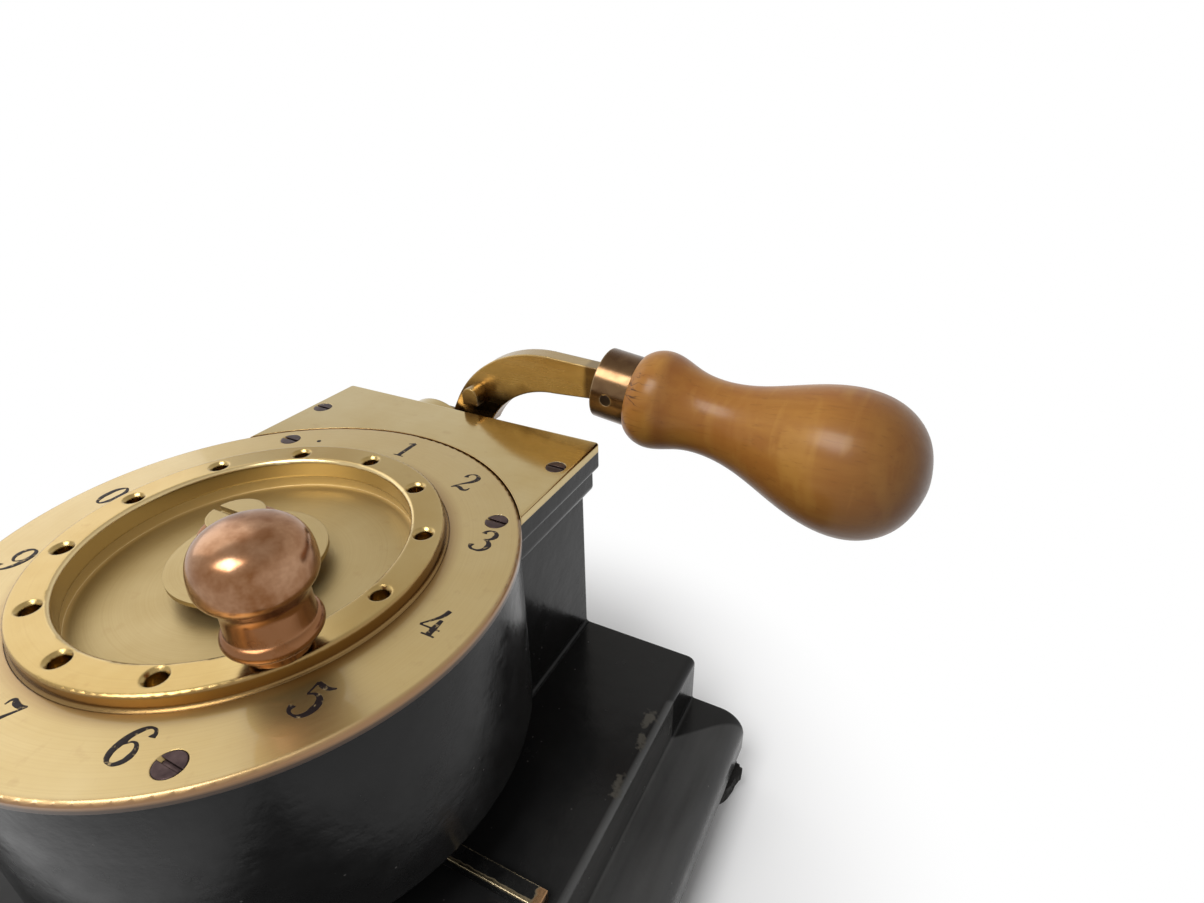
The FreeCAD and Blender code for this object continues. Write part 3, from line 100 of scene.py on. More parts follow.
# %% [markdown]
# ## The studio
# The press stands on a white table in a pale room, under soft lamps. A photograph on pure white
# could be had by flooding the table with light, but that would wash out the press as well. Instead
# the far table and the horizon glow at exactly white, only for rays that look straight at them, in
# a reflection or through glass. The Light Path node tells these rays from those that carry light.

# %% Rays that see the background
def combined(tree, operation, a, b):
    node = tree.nodes.new("ShaderNodeMath")
    node.operation = operation
    tree.links.new(a, node.inputs[0])
    tree.links.new(b, node.inputs[1])
    return node.outputs[0]


def straight_look(tree):
    """1 for rays from the camera, a mirror or through glass, 0 for rays that only carry light."""
    path = tree.nodes.new("ShaderNodeLightPath")
    first = combined(tree, "MAXIMUM", path.outputs["Is Camera Ray"], path.outputs["Is Glossy Ray"])
    return combined(tree, "MAXIMUM", first, path.outputs["Is Transmission Ray"])


print("rays that see the background: camera, glossy, transmission")

# %% [markdown]
# Near the press the table is plain matt paint, so its shadow is real, and it fades to the white
# glow further out. For rays that carry light the paint is greyer than it looks, because a white
# table throws so much light upwards that the black base would look like slate.

# %% Table
TABLE_SIZE = 12
SHADOW_REACH = 0.100
WHITE_FROM = 0.185
PAINT_SEEN = (0.92, 0.92, 0.92, 1)
PAINT_FOR_LIGHT = (0.42, 0.41, 0.40, 1)
MIX_A, MIX_B, MIX_RESULT = 6, 7, 2

bpy.ops.object.select_all(action="DESELECT")
bpy.ops.mesh.primitive_plane_add(size=TABLE_SIZE)
table = bpy.context.object
table.name = "table"
white = bpy.data.materials.new("white table")
white.use_nodes = True
paint = white.node_tree
looked_at = straight_look(paint)
matt = paint.nodes["Principled BSDF"]
matt.inputs["Roughness"].default_value = 0.9
matt.inputs["Specular IOR Level"].default_value = 0.1
tint = paint.nodes.new("ShaderNodeMix")
tint.data_type = "RGBA"
tint.inputs[MIX_A].default_value = PAINT_FOR_LIGHT
tint.inputs[MIX_B].default_value = PAINT_SEEN
paint.links.new(looked_at, tint.inputs["Factor"])
paint.links.new(tint.outputs[MIX_RESULT], matt.inputs["Base Color"])
print("table in metres:", TABLE_SIZE)

# %% White further out
where = paint.nodes.new("ShaderNodeTexCoord")
distance = paint.nodes.new("ShaderNodeVectorMath")
distance.operation = "LENGTH"
paint.links.new(where.outputs["Object"], distance.inputs[0])
fade = paint.nodes.new("ShaderNodeMapRange")
fade.interpolation_type = "SMOOTHSTEP"
fade.inputs["From Min"].default_value = SHADOW_REACH
fade.inputs["From Max"].default_value = WHITE_FROM
paint.links.new(distance.outputs["Value"], fade.inputs["Value"])
glow = paint.nodes.new("ShaderNodeEmission")
surface = paint.nodes.new("ShaderNodeMixShader")
glow_share = combined(paint, "MULTIPLY", fade.outputs["Result"], looked_at)
paint.links.new(glow_share, surface.inputs["Fac"])
paint.links.new(matt.outputs[0], surface.inputs[1])
paint.links.new(glow.outputs[0], surface.inputs[2])
paint.links.new(surface.outputs[0], paint.nodes["Material Output"].inputs["Surface"])
table.data.materials.append(white)
print("white from, in metres:", WHITE_FROM)

# %% [markdown]
# The room is the world's colour. What is seen of it is white at the horizon and a little darker and
# warmer overhead, because polished brass shows whatever is around it, and a room of one even tone
# makes metal look like paint. The light that it gives is lower, so that a colour on the press looks
# about as it is written, and comes more from one side, so that round things get a darker flank.

# %% Room
LIGHT_FROM = (-0.55, -0.35, 0.76)
LIGHT_STRENGTH = 0.62
LIGHT_STEPS = ((0.0, (0.24, 0.235, 0.23)), (0.70, (1.0, 1.0, 1.0)))
OVERHEAD = (0, 0, 1)
WALL_STEPS = ((0.06, (1.0, 1.0, 1.0)), (0.36, (0.95, 0.94, 0.92)),
              (0.66, (0.82, 0.79, 0.74)), (1.0, (0.66, 0.64, 0.61)))

room = bpy.data.worlds.new("pale room")
room.use_nodes = True
scene.world = room
wiring = room.node_tree
direction = wiring.nodes.new("ShaderNodeTexCoord")


def room_tones(toward, strength, steps):
    """A background whose colour changes along one direction, such as the height of the walls."""
    along = wiring.nodes.new("ShaderNodeVectorMath")
    along.operation = "DOT_PRODUCT"
    wiring.links.new(direction.outputs["Generated"], along.inputs[0])
    along.inputs[1].default_value = toward
    tones = wiring.nodes.new("ShaderNodeValToRGB")
    ramp = tones.color_ramp
    while len(ramp.elements) < len(steps):
        ramp.elements.new(0.5)
    for element, (height, colour) in zip(ramp.elements, steps):
        element.position = height
        element.color = (*colour, 1)
    wiring.links.new(along.outputs["Value"], tones.inputs["Fac"])
    sky = wiring.nodes.new("ShaderNodeBackground")
    wiring.links.new(tones.outputs["Color"], sky.inputs["Color"])
    sky.inputs["Strength"].default_value = strength
    return sky.outputs[0]


choice = wiring.nodes.new("ShaderNodeMixShader")
wiring.links.new(straight_look(wiring), choice.inputs["Fac"])
wiring.links.new(room_tones(LIGHT_FROM, LIGHT_STRENGTH, LIGHT_STEPS), choice.inputs[1])
wiring.links.new(room_tones(OVERHEAD, 1.0, WALL_STEPS), choice.inputs[2])
wiring.links.new(choice.outputs[0], wiring.nodes["World Output"].inputs["Surface"])
print("room tones:", len([n for n in wiring.nodes if n.type == "VALTORGB"]))

# %% [markdown]
# Two area lamps finish the light. The key lamp hangs high in front and makes the soft glints on the
# knob and the grip. The fill lamp stands far to the left, so that the drum isn't black there. A sun
# would be simpler, but its shadow is too hard for a studio.

# %% Lamps
PRESS_MIDDLE = (0.03, 0.02, 0.08)


def soft_lamp(name, place, size, power):
    bpy.ops.object.select_all(action="DESELECT")
    bpy.ops.object.light_add(type="AREA", location=place)
    lamp = bpy.context.object
    lamp.name = name
    lamp.data.size = size
    lamp.data.energy = power
    lamp.rotation_euler = (Vector(place) - Vector(PRESS_MIDDLE)).to_track_quat("Z", "Y").to_euler()


soft_lamp("key lamp", (-0.08, -0.44, 0.83), size=0.42, power=5.6)
soft_lamp("fill lamp", (-0.70, 0.10, 0.55), size=0.60, power=1.2)
scene.view_settings.view_transform = "Standard"

# %% [markdown]
# ## How the finishes are wired
# Each finish is a small graph of nodes. The helpers below add one node each and join it to what
# feeds it, so a finish reads from top to bottom like a recipe. The first group makes nodes, links
# them, and does sums with values and colours.

# %% Nodes and links
class Wiring:
    """One material and short ways to add nodes to it."""

    def __init__(self, name, **constants):
        self.material = bpy.data.materials.new(name)
        self.material.use_nodes = True
        self.tree = self.material.node_tree
        self.shader = self.tree.nodes["Principled BSDF"]
        for socket, value in constants.items():
            self.shader.inputs[socket.replace("_", " ")].default_value = value
        self.place = self.add("ShaderNodeTexCoord").outputs["Object"]

    def add(self, kind, **settings):
        node = self.tree.nodes.new(kind)
        for key, value in settings.items():
            setattr(node, key, value)
        return node

    def join(self, source, target):
        if hasattr(source, "is_output"):
            self.tree.links.new(source, target)
        else:
            target.default_value = source

    def set(self, **values):
        for socket, value in values.items():
            self.join(value, self.shader.inputs[socket.replace("_", " ")])

    def window(self, value, low, high, from_value=0.0, to_value=1.0):
        """Slide a value from one level to another as the input passes between low and high."""
        node = self.add("ShaderNodeMapRange", clamp=True)
        self.join(value, node.inputs["Value"])
        node.inputs["From Min"].default_value = low
        node.inputs["From Max"].default_value = high
        node.inputs["To Min"].default_value = from_value
        node.inputs["To Max"].default_value = to_value
        return node.outputs["Result"]

    def sums(self, kind, a, b=0.0):
        node = self.add("ShaderNodeMath", operation=kind)
        self.join(a, node.inputs[0])
        self.join(b, node.inputs[1])
        return node.outputs[0]

    def blend(self, share, a, b):
        """One colour into another by a share from 0 to 1."""
        node = self.add("ShaderNodeMix", data_type="RGBA")
        self.join(share, node.inputs["Factor"])
        for socket, colour in ((MIX_A, a), (MIX_B, b)):
            given = colour if hasattr(colour, "is_output") else (*colour, 1)
            self.join(given, node.inputs[socket])
        return node.outputs[MIX_RESULT]


print("sums and links:", [name for name in vars(Wiring) if name[0] != "_"])

# %% [markdown]
# The second group says where on the press a point lies, and lays noise over it. Every pattern is
# measured in the press's own metres, so a grain of one millimetre stays one millimetre on a large
# piece and on a small one. A texture stretched to each piece's box would change its scale.

# %% Patterns
class Patterns(Wiring):
    """Places on the press and the noises that follow them."""

    USUAL_NOISE = (0.3, 0.7)

    def mapped(self, turn=(0, 0, 0), scale=(1, 1, 1), shift=(0, 0, 0)):
        """The press's coordinates, turned and stretched for one pattern."""
        node = self.add("ShaderNodeMapping")
        self.tree.links.new(self.place, node.inputs["Vector"])
        node.inputs["Location"].default_value = shift
        node.inputs["Rotation"].default_value = turn
        node.inputs["Scale"].default_value = scale
        return node.outputs["Vector"]

    def axis(self, letter):
        node = self.add("ShaderNodeSeparateXYZ")
        self.tree.links.new(self.place, node.inputs[0])
        return node.outputs[letter]

    def length(self, vector):
        node = self.add("ShaderNodeVectorMath", operation="LENGTH")
        self.tree.links.new(vector, node.inputs[0])
        return node.outputs["Value"]

    def from_dial(self):
        """Distance from the dial's axis, in metres."""
        return self.length(self.mapped(scale=(1, 1, 0)))

    def noise(self, size, detail=3.0, rough=0.55, where=None, twist=0.0):
        """Cloudy noise whose patches are about `size` metres wide."""
        node = self.add("ShaderNodeTexNoise")
        self.tree.links.new(where or self.place, node.inputs["Vector"])
        node.inputs["Scale"].default_value = 1 / size
        node.inputs["Detail"].default_value = detail
        node.inputs["Roughness"].default_value = rough
        node.inputs["Distortion"].default_value = twist
        return node.outputs["Fac"]

    def spread(self, noise, from_value=0.0, to_value=1.0):
        """Slide from one level to another over the range that a noise mostly keeps to."""
        return self.window(noise, *self.USUAL_NOISE, from_value, to_value)

    def rings(self, spacing):
        """Fine turning marks round the dial's axis."""
        node = self.add("ShaderNodeTexNoise", noise_dimensions="1D")
        self.tree.links.new(self.from_dial(), node.inputs["W"])
        node.inputs["Scale"].default_value = 1 / spacing
        node.inputs["Detail"].default_value = 2
        return node.outputs["Fac"]


print("patterns:", [name for name in vars(Patterns) if name.islower() and name[0] != "_"])

# %% [markdown]
# The last group deals with corners. The Bevel node gives the normal that a rounded corner would
# have. Where it differs from the real one there is a corner, which hands and cloths reach first,
# and as a normal for the shader it rounds the corner's shine without touching the mesh.

# %% Corners and relief
class Finish(Patterns):
    """A material that knows its corners and can stand out in relief."""

    CORNER_SAMPLES = 6

    def rounded(self, radius):
        node = self.add("ShaderNodeBevel", samples=self.CORNER_SAMPLES)
        node.inputs["Radius"].default_value = radius
        return node.outputs["Normal"]

    def facing(self, toward):
        """1 where the surface looks along a direction, 0 where it lies across it."""
        node = self.add("ShaderNodeVectorMath", operation="DOT_PRODUCT")
        normal = self.add("ShaderNodeNewGeometry").outputs["Normal"]
        self.tree.links.new(normal, node.inputs[0])
        self.join(toward, node.inputs[1])
        return node.outputs["Value"]

    def edges(self, width, low=0.02, high=0.25):
        """1 along corners that hands and cloths reach, 0 on the flat."""
        return self.window(self.sums("SUBTRACT", 1.0, self.facing(self.rounded(width))), low, high)

    def relief(self, value, depth, strength=1.0, corner=0.0):
        """Bumps `depth` metres deep, over corners softened to a radius."""
        node = self.add("ShaderNodeBump")
        self.tree.links.new(value, node.inputs["Height"])
        node.inputs["Distance"].default_value = depth
        node.inputs["Strength"].default_value = strength
        if corner:
            self.tree.links.new(self.rounded(corner), node.inputs["Normal"])
        self.tree.links.new(node.outputs["Normal"], self.shader.inputs["Normal"])


def coat(mesh, finish):
    mesh.materials.clear()
    mesh.materials.append(finish.material)


def wear(finish, *nodes):
    for node in nodes:
        coat(press[node].data, finish)
    print(finish.material.name, "on", len(nodes))


print("corners:", [name for name in vars(Finish) if name.islower() and name[0] != "_"])

# %% [markdown]
# ## Black enamel
# The castings are iron under thick black stoving enamel, polished by cloths. Along one corner of
# the base it has chipped to grey iron, where hands lay paper down. Noise alone would scatter chips
# all over, so each chip is a spot at its own place, and noise only frays its rim.

# %% Chips
CHIPS = ((0.0753, 0.0516, 0.0017), (0.0758, 0.0437, 0.0013), (0.0762, 0.0287, 0.0015))
CHIP_LEVEL = 0.043
CHIP_SQUEEZE = (1, 0.6, 0.3)

enamel = Finish("black enamel", Specular_IOR_Level=0.17)
fray = enamel.spread(enamel.noise(0.0022, detail=2), -0.0013, 0.0013)
chips = 0.0
for chip_x, chip_y, chip_radius in CHIPS:
    shift = [-v * squeeze for v, squeeze in zip((chip_x, chip_y, CHIP_LEVEL), CHIP_SQUEEZE)]
    reach = enamel.sums("ADD", enamel.length(enamel.mapped(scale=CHIP_SQUEEZE, shift=shift)), fray)
    chip = enamel.window(reach, chip_radius * 1.3, chip_radius * 0.5)
    chips = enamel.sums("MAXIMUM", chips, chip)
print("chips:", len(CHIPS))

# %% [markdown]
# Sleeves and cloths have rubbed the two long sides of the base grey: the upright side of the slab,
# and below it the moulding, most of all on its nose. The lighter grey of the slab's upright side is
# also a painted reflection of the table, which that side shows. How far out a point lies tells
# these apart.
# The grey ends where a point is as near to an end of the base as to its side. At the front that is
# the mitre of the moulding. At the rear the moulding is cut off square, and there the same slanting
# line only leaves the last two centimetres black.

# %% Rubbed sides
SLAB_HALF_WIDTH = 0.0785
SLANT_BLUR = 0.0006

base_low, base_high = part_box("base_casting")
sideways = enamel.sums("ABSOLUTE", enamel.axis("X"))
outward = enamel.sums("SUBTRACT", sideways, SLAB_HALF_WIDTH)
from_side = enamel.sums("SUBTRACT", base_high[0], sideways)
from_end = enamel.sums("MINIMUM", enamel.sums("SUBTRACT", enamel.axis("Y"), base_low[1]),
                       enamel.sums("SUBTRACT", base_high[1], enamel.axis("Y")))
past_slant = enamel.sums("SUBTRACT", from_end, from_side)
long_side = enamel.window(past_slant, -SLANT_BLUR, SLANT_BLUR)
drawn_out = enamel.mapped(scale=(1, 0.2, 1))
streaks = enamel.spread(enamel.noise(0.006, detail=3, where=drawn_out), 0.7, 1.1)


def on_long_side(share):
    return enamel.sums("MULTIPLY", enamel.sums("MULTIPLY", share, long_side), streaks)


# The slab's upright side: rubbed grey that is also a painted reflection of the table.
slab_side_rub_and_reflection = enamel.sums("MULTIPLY", enamel.window(outward, -0.0018, -0.0002),
                        enamel.window(outward, 0.0002, 0.0040, 1, 0.3))
moulding = enamel.window(outward, 0.0, 0.002, 0.0, 0.20)
nose = enamel.window(outward, 0.0110, 0.0170, 0.0, 0.9)
print("base from", [round(v, 4) for v in base_low], "to", [round(v, 4) for v in base_high])

# %% [markdown]
# The colours go on like coats: two blacks in broad patches, the grey of the sides, worn corners,
# the chips, and a little dust in specks. The iron's skin shows through as slow waves in the relief,
# and the same noise varies the gloss, so that the reflections waver as they do on old enamel.

# %% Enamel
BLACK, SOFT_BLACK = (0.012, 0.012, 0.0122), (0.017, 0.017, 0.017)
MOULDING_GREY, SLAB_GREY_AND_REFLECTION = (0.080, 0.080, 0.080), (0.118, 0.118, 0.116)
WORN_CORNER, BARE_IRON, DUST = (0.060, 0.057, 0.052), (0.078, 0.072, 0.060), (0.26, 0.25, 0.24)
SPECKS_PER_METRE = 300

skin = enamel.noise(0.008, detail=4)
patches = enamel.spread(enamel.noise(0.03, detail=2))
worn = enamel.window(enamel.noise(0.006), 0.50, 0.66)
corners = enamel.sums("MULTIPLY", enamel.edges(0.0006), worn)
specks = enamel.add("ShaderNodeTexVoronoi")
enamel.tree.links.new(enamel.place, specks.inputs["Vector"])
specks.inputs["Scale"].default_value = SPECKS_PER_METRE
dust = enamel.sums("MULTIPLY", enamel.window(specks.outputs["Distance"], 0.05, 0.09, 1, 0),
                   enamel.window(enamel.noise(0.014), 0.56, 0.62))
black = enamel.blend(patches, BLACK, SOFT_BLACK)
black = enamel.blend(on_long_side(enamel.sums("MAXIMUM", moulding, nose)), black, MOULDING_GREY)
# Painted reflection with rubbing: the slab's upright side turns a lighter grey.
black = enamel.blend(on_long_side(slab_side_rub_and_reflection), black, SLAB_GREY_AND_REFLECTION)
black = enamel.blend(enamel.sums("MULTIPLY", corners, 0.7), black, WORN_CORNER)
black = enamel.blend(enamel.sums("MULTIPLY", chips, 0.9), black, BARE_IRON)
black = enamel.blend(enamel.sums("MULTIPLY", dust, 0.4), black, DUST)
enamel.set(Base_Color=black, Roughness=enamel.window(skin, 0.3, 0.75, 0.16, 0.30))
enamel.relief(skin, 0.00032, 0.55, corner=0.0006)
wear(enamel, "base_casting", "body_casting", "sole_plate")

# %% [markdown]
# The fence is a brass bar that was painted with the base. Paper and fingers have rubbed the paint
# off its long front corner and its end. Two pieces, paint over metal, would be the honest way, but
# the paint has no thickness to see, so one finish turns from paint to metal where it is rubbed.

# %% Fence
FENCE_BLACK = (0.006, 0.006, 0.006)
CORNER_BRASS, END_BRASS = (0.52, 0.42, 0.26), (0.46, 0.27, 0.14)
END_FROM, END_TO = 0.0722, 0.0732

fence = Finish("rubbed fence", Specular_IOR_Level=0.45)
fence_low, fence_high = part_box("paper_fence")
near_front = fence.window(fence.axis("Y"), fence_low[1] + 0.0004, fence_low[1] + 0.0012, 1, 0)
near_top = fence.window(fence.axis("Z"), fence_high[2] - 0.0010, fence_high[2] - 0.0003)
front_corner = fence.sums("MULTIPLY", near_front, near_top)
reached = fence.sums("MAXIMUM", front_corner, fence.edges(0.0005, 0.05, 0.20))
patchy = fence.window(fence.noise(0.004), 0.4, 0.7, -0.30, 0.20)
rubbed = fence.window(fence.sums("ADD", reached, patchy), 0.30, 0.65)
frayed = fence.spread(fence.noise(0.003), -0.0012, 0.0012)
outwards = fence.sums("ADD", fence.sums("ABSOLUTE", fence.axis("X")), frayed)
end_face = fence.window(outwards, END_FROM, END_TO)
bare = fence.sums("MAXIMUM", rubbed, end_face)
old_brass = fence.blend(end_face, CORNER_BRASS, END_BRASS)
fence.set(Base_Color=fence.blend(bare, FENCE_BLACK, old_brass), Metallic=bare,
          Roughness=fence.spread(fence.noise(0.003), 0.18, 0.34))
fence.relief(fence.noise(0.002), 0.0001, 0.4, corner=0.0004)
wear(fence, "paper_fence")

# %% [markdown]
# ## Brass
# The top plates are brass that was turned or drawn smooth and has gone dull. They share one recipe:
# two tones in broad clouds, brown bloom in spots, fine tool marks in the relief, and a sheen that
# changes from patch to patch. The marks are rings on what was turned and strokes on the rest. Plain
# pieces are browner along their corners. The round ones have rings of painted shade, painted
# reflection and painted highlight instead, each given by two distances from the axis, where it
# starts and where it is full.

# %% Brass recipe
BLOOM = (0.27, 0.150, 0.055)
RING_SHARE = 0.85


def brass(name, pale, deep, marks, gloss, lacquer=0.0, corner=0.0003, rings=()):
    finish = Finish(name, Metallic=1.0, Coat_Weight=lacquer, Coat_Roughness=0.06)
    clouds = finish.noise(0.032, detail=4, rough=0.6)
    spots = finish.window(finish.noise(0.0035, detail=4), 0.62, 0.76)
    line = marks(finish)
    tone = finish.blend(finish.window(clouds, 0.32, 0.68), pale, deep)
    tone = finish.blend(finish.sums("MULTIPLY", spots, 0.18), tone, BLOOM)
    tone = finish.blend(finish.sums("MULTIPLY", finish.window(line, 0.4, 0.75), 0.05), tone, BLOOM)
    for start, full, colour in rings:
        ring = finish.window(finish.from_dial(), start, full, 0.0, RING_SHARE)
        tone = finish.blend(ring, tone, colour)
    if not rings:
        tone = finish.blend(finish.sums("MULTIPLY", finish.edges(0.0012), 0.5), tone, BLOOM)
    sheen = finish.sums("ADD", finish.spread(clouds, gloss, gloss + 0.05),
                        finish.spread(line, -0.02, 0.03))
    finish.set(Base_Color=tone, Roughness=sheen)
    finish.relief(line, 0.000004, 0.5, corner=corner)
    return finish, tone


def turned_marks(finish):
    return finish.rings(0.0004)


def drawn_marks(finish):
    return finish.noise(0.004, detail=4, where=finish.mapped(scale=(0.16, 8, 1)))


print("bloom:", BLOOM)

# %% Brass plates
# These ring colours are painted light: shade and dark reflection, shade over a bright line, a
# highlight, and shade on the dial's rim.
SHADE_AND_REFLECTION_BROWN, RIM_SHADE_COPPER = (0.30, 0.180, 0.068), (0.25, 0.125, 0.060)
LIP_SHADE_BROWN, HIGHLIGHT_CREAM = (0.22, 0.135, 0.052), (0.66, 0.52, 0.28)

plate_brass, _ = brass(
    "plate brass", pale=(0.53, 0.425, 0.225), deep=(0.47, 0.350, 0.150), marks=drawn_marks,
    gloss=0.11)
wear(plate_brass, "cover_plate", "pivot_bracket")
# On the ring: painted shade and dark reflection in its outer cove, painted shade over the lip's
# bright line, and a painted highlight on its inner lip.
ring_brass, _ = brass(
    "ring brass", pale=(0.45, 0.340, 0.156), deep=(0.38, 0.262, 0.096), marks=turned_marks,
    gloss=0.16, corner=0.0007,
    rings=((0.0425, 0.0430, SHADE_AND_REFLECTION_BROWN), (0.0428, 0.0431, LIP_SHADE_BROWN), (0.0363, 0.0356, HIGHLIGHT_CREAM)))
wear(ring_brass, "index_ring")
# The cream ring at the dish's edge is a painted highlight of the ring's inner lip.
dish_brass, _ = brass(
    "dish brass", pale=(0.44, 0.345, 0.178), deep=(0.39, 0.292, 0.135), marks=turned_marks,
    gloss=0.42, rings=((0.0346, 0.0356, HIGHLIGHT_CREAM),))
wear(dish_brass, "dial_floor", "selector_hub", "hub_screw")

# %% [markdown]
# The dial still has its lacquer, which is the shader's clear coat. Its bright rim is only a thin
# line, because below it the side is painted nearly black, as painted shade against the drum, so its
# tone changes once more with the height.

# %% Dial brass
UNDER_RIM_SHADE = (0.045, 0.029, 0.020)
RIM_EDGE, RIM_FULL = 0.0012, 0.0018

DIAL_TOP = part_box("number_dial")[1][2]
# Next to the index ring the dial carries a painted dark reflection of the ring's wall, and its
# rounded rim a painted copper shade.
dial_brass, dial_tone = brass(
    "dial brass", pale=(0.50, 0.385, 0.185), deep=(0.46, 0.335, 0.135), marks=turned_marks,
    gloss=0.38, lacquer=0.5,
    rings=((0.0470, 0.0436, SHADE_AND_REFLECTION_BROWN), (0.0590, 0.0599, RIM_SHADE_COPPER)))
# Painted shade: the dial's side below the rim is painted nearly black.
under_rim_shade = dial_brass.window(dial_brass.axis("Z"), DIAL_TOP - RIM_FULL, DIAL_TOP - RIM_EDGE,
                              0.9, 0.0)
dial_brass.set(Base_Color=dial_brass.blend(under_rim_shade, dial_tone, UNDER_RIM_SHADE))
wear(dial_brass, "number_dial")

# %% [markdown]
# The lever's bar was filed flat and never lacquered. It is a browner brass. Where it dives behind
# the plate it is painted almost black, as painted shade, and it is darker in a band where the
# ferrule meets it. Both bands are windows on the place, broken up by noise. Its top is painted
# darker than its sides, as painted shade, which the normal tells.

# %% Lever brass
BAR_PALE, BAR_DEEP = (0.55, 0.39, 0.17), (0.48, 0.315, 0.115)
BAR_SHADE_AND_BAND, BAR_TOP_SHADE = (0.10, 0.054, 0.026), (0.31, 0.235, 0.125)

lever_brass = Finish("lever brass", Metallic=1.0)
strokes = lever_brass.noise(0.005, detail=4, where=lever_brass.mapped(scale=(0.2, 1, 3)))
smoke = lever_brass.noise(0.010, detail=4)
uneven = lever_brass.spread(smoke, -0.20, 0.25)
bar_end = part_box("ferrule")[0][0]
plate_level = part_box("cover_plate")[1][2]
at_ferrule = lever_brass.window(lever_brass.axis("X"), bar_end - 0.0060, bar_end - 0.0035)
# Painted shade: almost black where the bar dives behind the plate.
root_shade = lever_brass.window(lever_brass.axis("Z"), plate_level + 0.0020, plate_level + 0.0120,
                             1, 0)
bands = lever_brass.sums("ADD", lever_brass.sums("MAXIMUM", at_ferrule, root_shade), uneven)
shade_and_band = lever_brass.window(bands, 0.4, 1.0)
# Painted shade: the top of the bar is painted darker than its sides.
top_shade = lever_brass.window(lever_brass.facing((0, 0, 1)), 0.6, 0.9, 0.0, 0.6)
bar_tone = lever_brass.blend(lever_brass.window(smoke, 0.35, 0.7), BAR_PALE, BAR_DEEP)
# Painted shade near the plate, and a darker band at the ferrule.
bar_tone = lever_brass.blend(lever_brass.sums("MULTIPLY", shade_and_band, 0.85), bar_tone, BAR_SHADE_AND_BAND)
bar_tone = lever_brass.blend(top_shade, bar_tone, BAR_TOP_SHADE)
lever_brass.set(Base_Color=bar_tone, Roughness=lever_brass.spread(strokes, 0.20, 0.32))
lever_brass.relief(strokes, 0.00002, 0.5, corner=0.0007)
wear(lever_brass, "lever_arm", "lever_washer", "stop_pin")

# %% [markdown]
# ## Bronze
# The knob is a redder metal. Handling keeps its bulge bright and leaves a brown skin in the waist,
# so the tone follows the height up the knob as well as slow noise. The ferrule is its duller
# cousin, browner and with less red, and shares the recipe.

# %% Bronze
def handled_bronze(name, bright, brown, polish, gloss, waist=None):
    finish = Finish(name, Metallic=1.0)
    film = finish.noise(0.007, detail=4, rough=0.6)
    share = finish.window(film, 0.35, 0.62)
    if waist:
        in_waist = finish.window(finish.axis("Z"), *waist, 0.9, 0.0)
        share = finish.sums("MAXIMUM", share, in_waist)
    tone = finish.blend(share, bright, brown)
    tone = finish.blend(finish.sums("MULTIPLY", finish.edges(0.0008), 0.6), tone, polish)
    finish.set(Base_Color=tone, Roughness=finish.spread(film, gloss, gloss + 0.12))
    finish.relief(finish.noise(0.0015), 0.000012, 0.4, corner=0.0004)
    return finish


WAIST_SHARE, WAIST_BLUR = 0.45, 0.006
knob_low, knob_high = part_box("index_knob")
waist_top = knob_low[2] + WAIST_SHARE * (knob_high[2] - knob_low[2])
knob_bronze = handled_bronze(
    "knob bronze", bright=(0.385, 0.220, 0.128), brown=(0.215, 0.092, 0.037),
    polish=(0.50, 0.31, 0.18), gloss=0.17, waist=(waist_top, waist_top + WAIST_BLUR))
ferrule_bronze = handled_bronze(
    "ferrule bronze", bright=(0.165, 0.098, 0.049), brown=(0.095, 0.050, 0.024),
    polish=(0.58, 0.43, 0.25), gloss=0.18)
wear(knob_bronze, "index_knob", "selector_arm")
wear(ferrule_bronze, "ferrule", "spindle_bushes", "plunger_bush", "shaft_bushes")

# %% [markdown]
# ## Varnished wood
# The grip is a fruit wood, turned and varnished honey brown. Wood is built from long fibres, so one
# noise is stretched along the grip for the grain and a finer one for the pores. Across the fibres
# lie soft pale bands, the curl that shows in such wood when it is polished. An image of wood would
# be quicker, but it would wrap round the pear shape badly.

# %% Grain
GRIP_LEAN = math.radians(7.7)

wood = Finish("honey varnish", Coat_Weight=0.22, Coat_Roughness=0.22, Specular_IOR_Level=0.12)


def grip_noise(size, detail, scale, shift=(0, 0, 0), twist=0.0):
    along_grip = wood.mapped(turn=(0, -GRIP_LEAN, 0), scale=scale, shift=shift)
    return wood.noise(size, detail=detail, twist=twist, where=along_grip)


fibre = grip_noise(0.0045, 5, (0.10, 1, 1), twist=0.6)
pores = grip_noise(0.0009, 3, (0.12, 1, 1))
curl = grip_noise(0.0060, 2, (1.0, 0.30, 0.30), twist=0.8)
checks = grip_noise(0.0034, 2, (0.20, 1, 1), shift=(0.3, 0, 0), twist=0.5)
mottle = wood.noise(0.018, detail=3)
print("grip leans by degrees:", round(math.degrees(GRIP_LEAN), 1))

# %% [markdown]
# The tone also changes along the grip. The round end is painted darker, as is the underside, both
# as painted shade. The groove of the collar is darker, and short dark checks show where the collar
# has dried out. The varnish itself is the shader's clear coat.

# %% Wood
HONEY, DEEP_HONEY, RED_HONEY = (0.36, 0.165, 0.033), (0.285, 0.117, 0.021), (0.26, 0.088, 0.017)
PALE_CURL, PORE, GROOVE = (0.44, 0.225, 0.050), (0.13, 0.046, 0.011), (0.17, 0.052, 0.014)
END_SHADE, UNDERSIDE_SHADE, CRACK = (0.115, 0.048, 0.017), (0.14, 0.058, 0.018), (0.04, 0.015, 0.006)

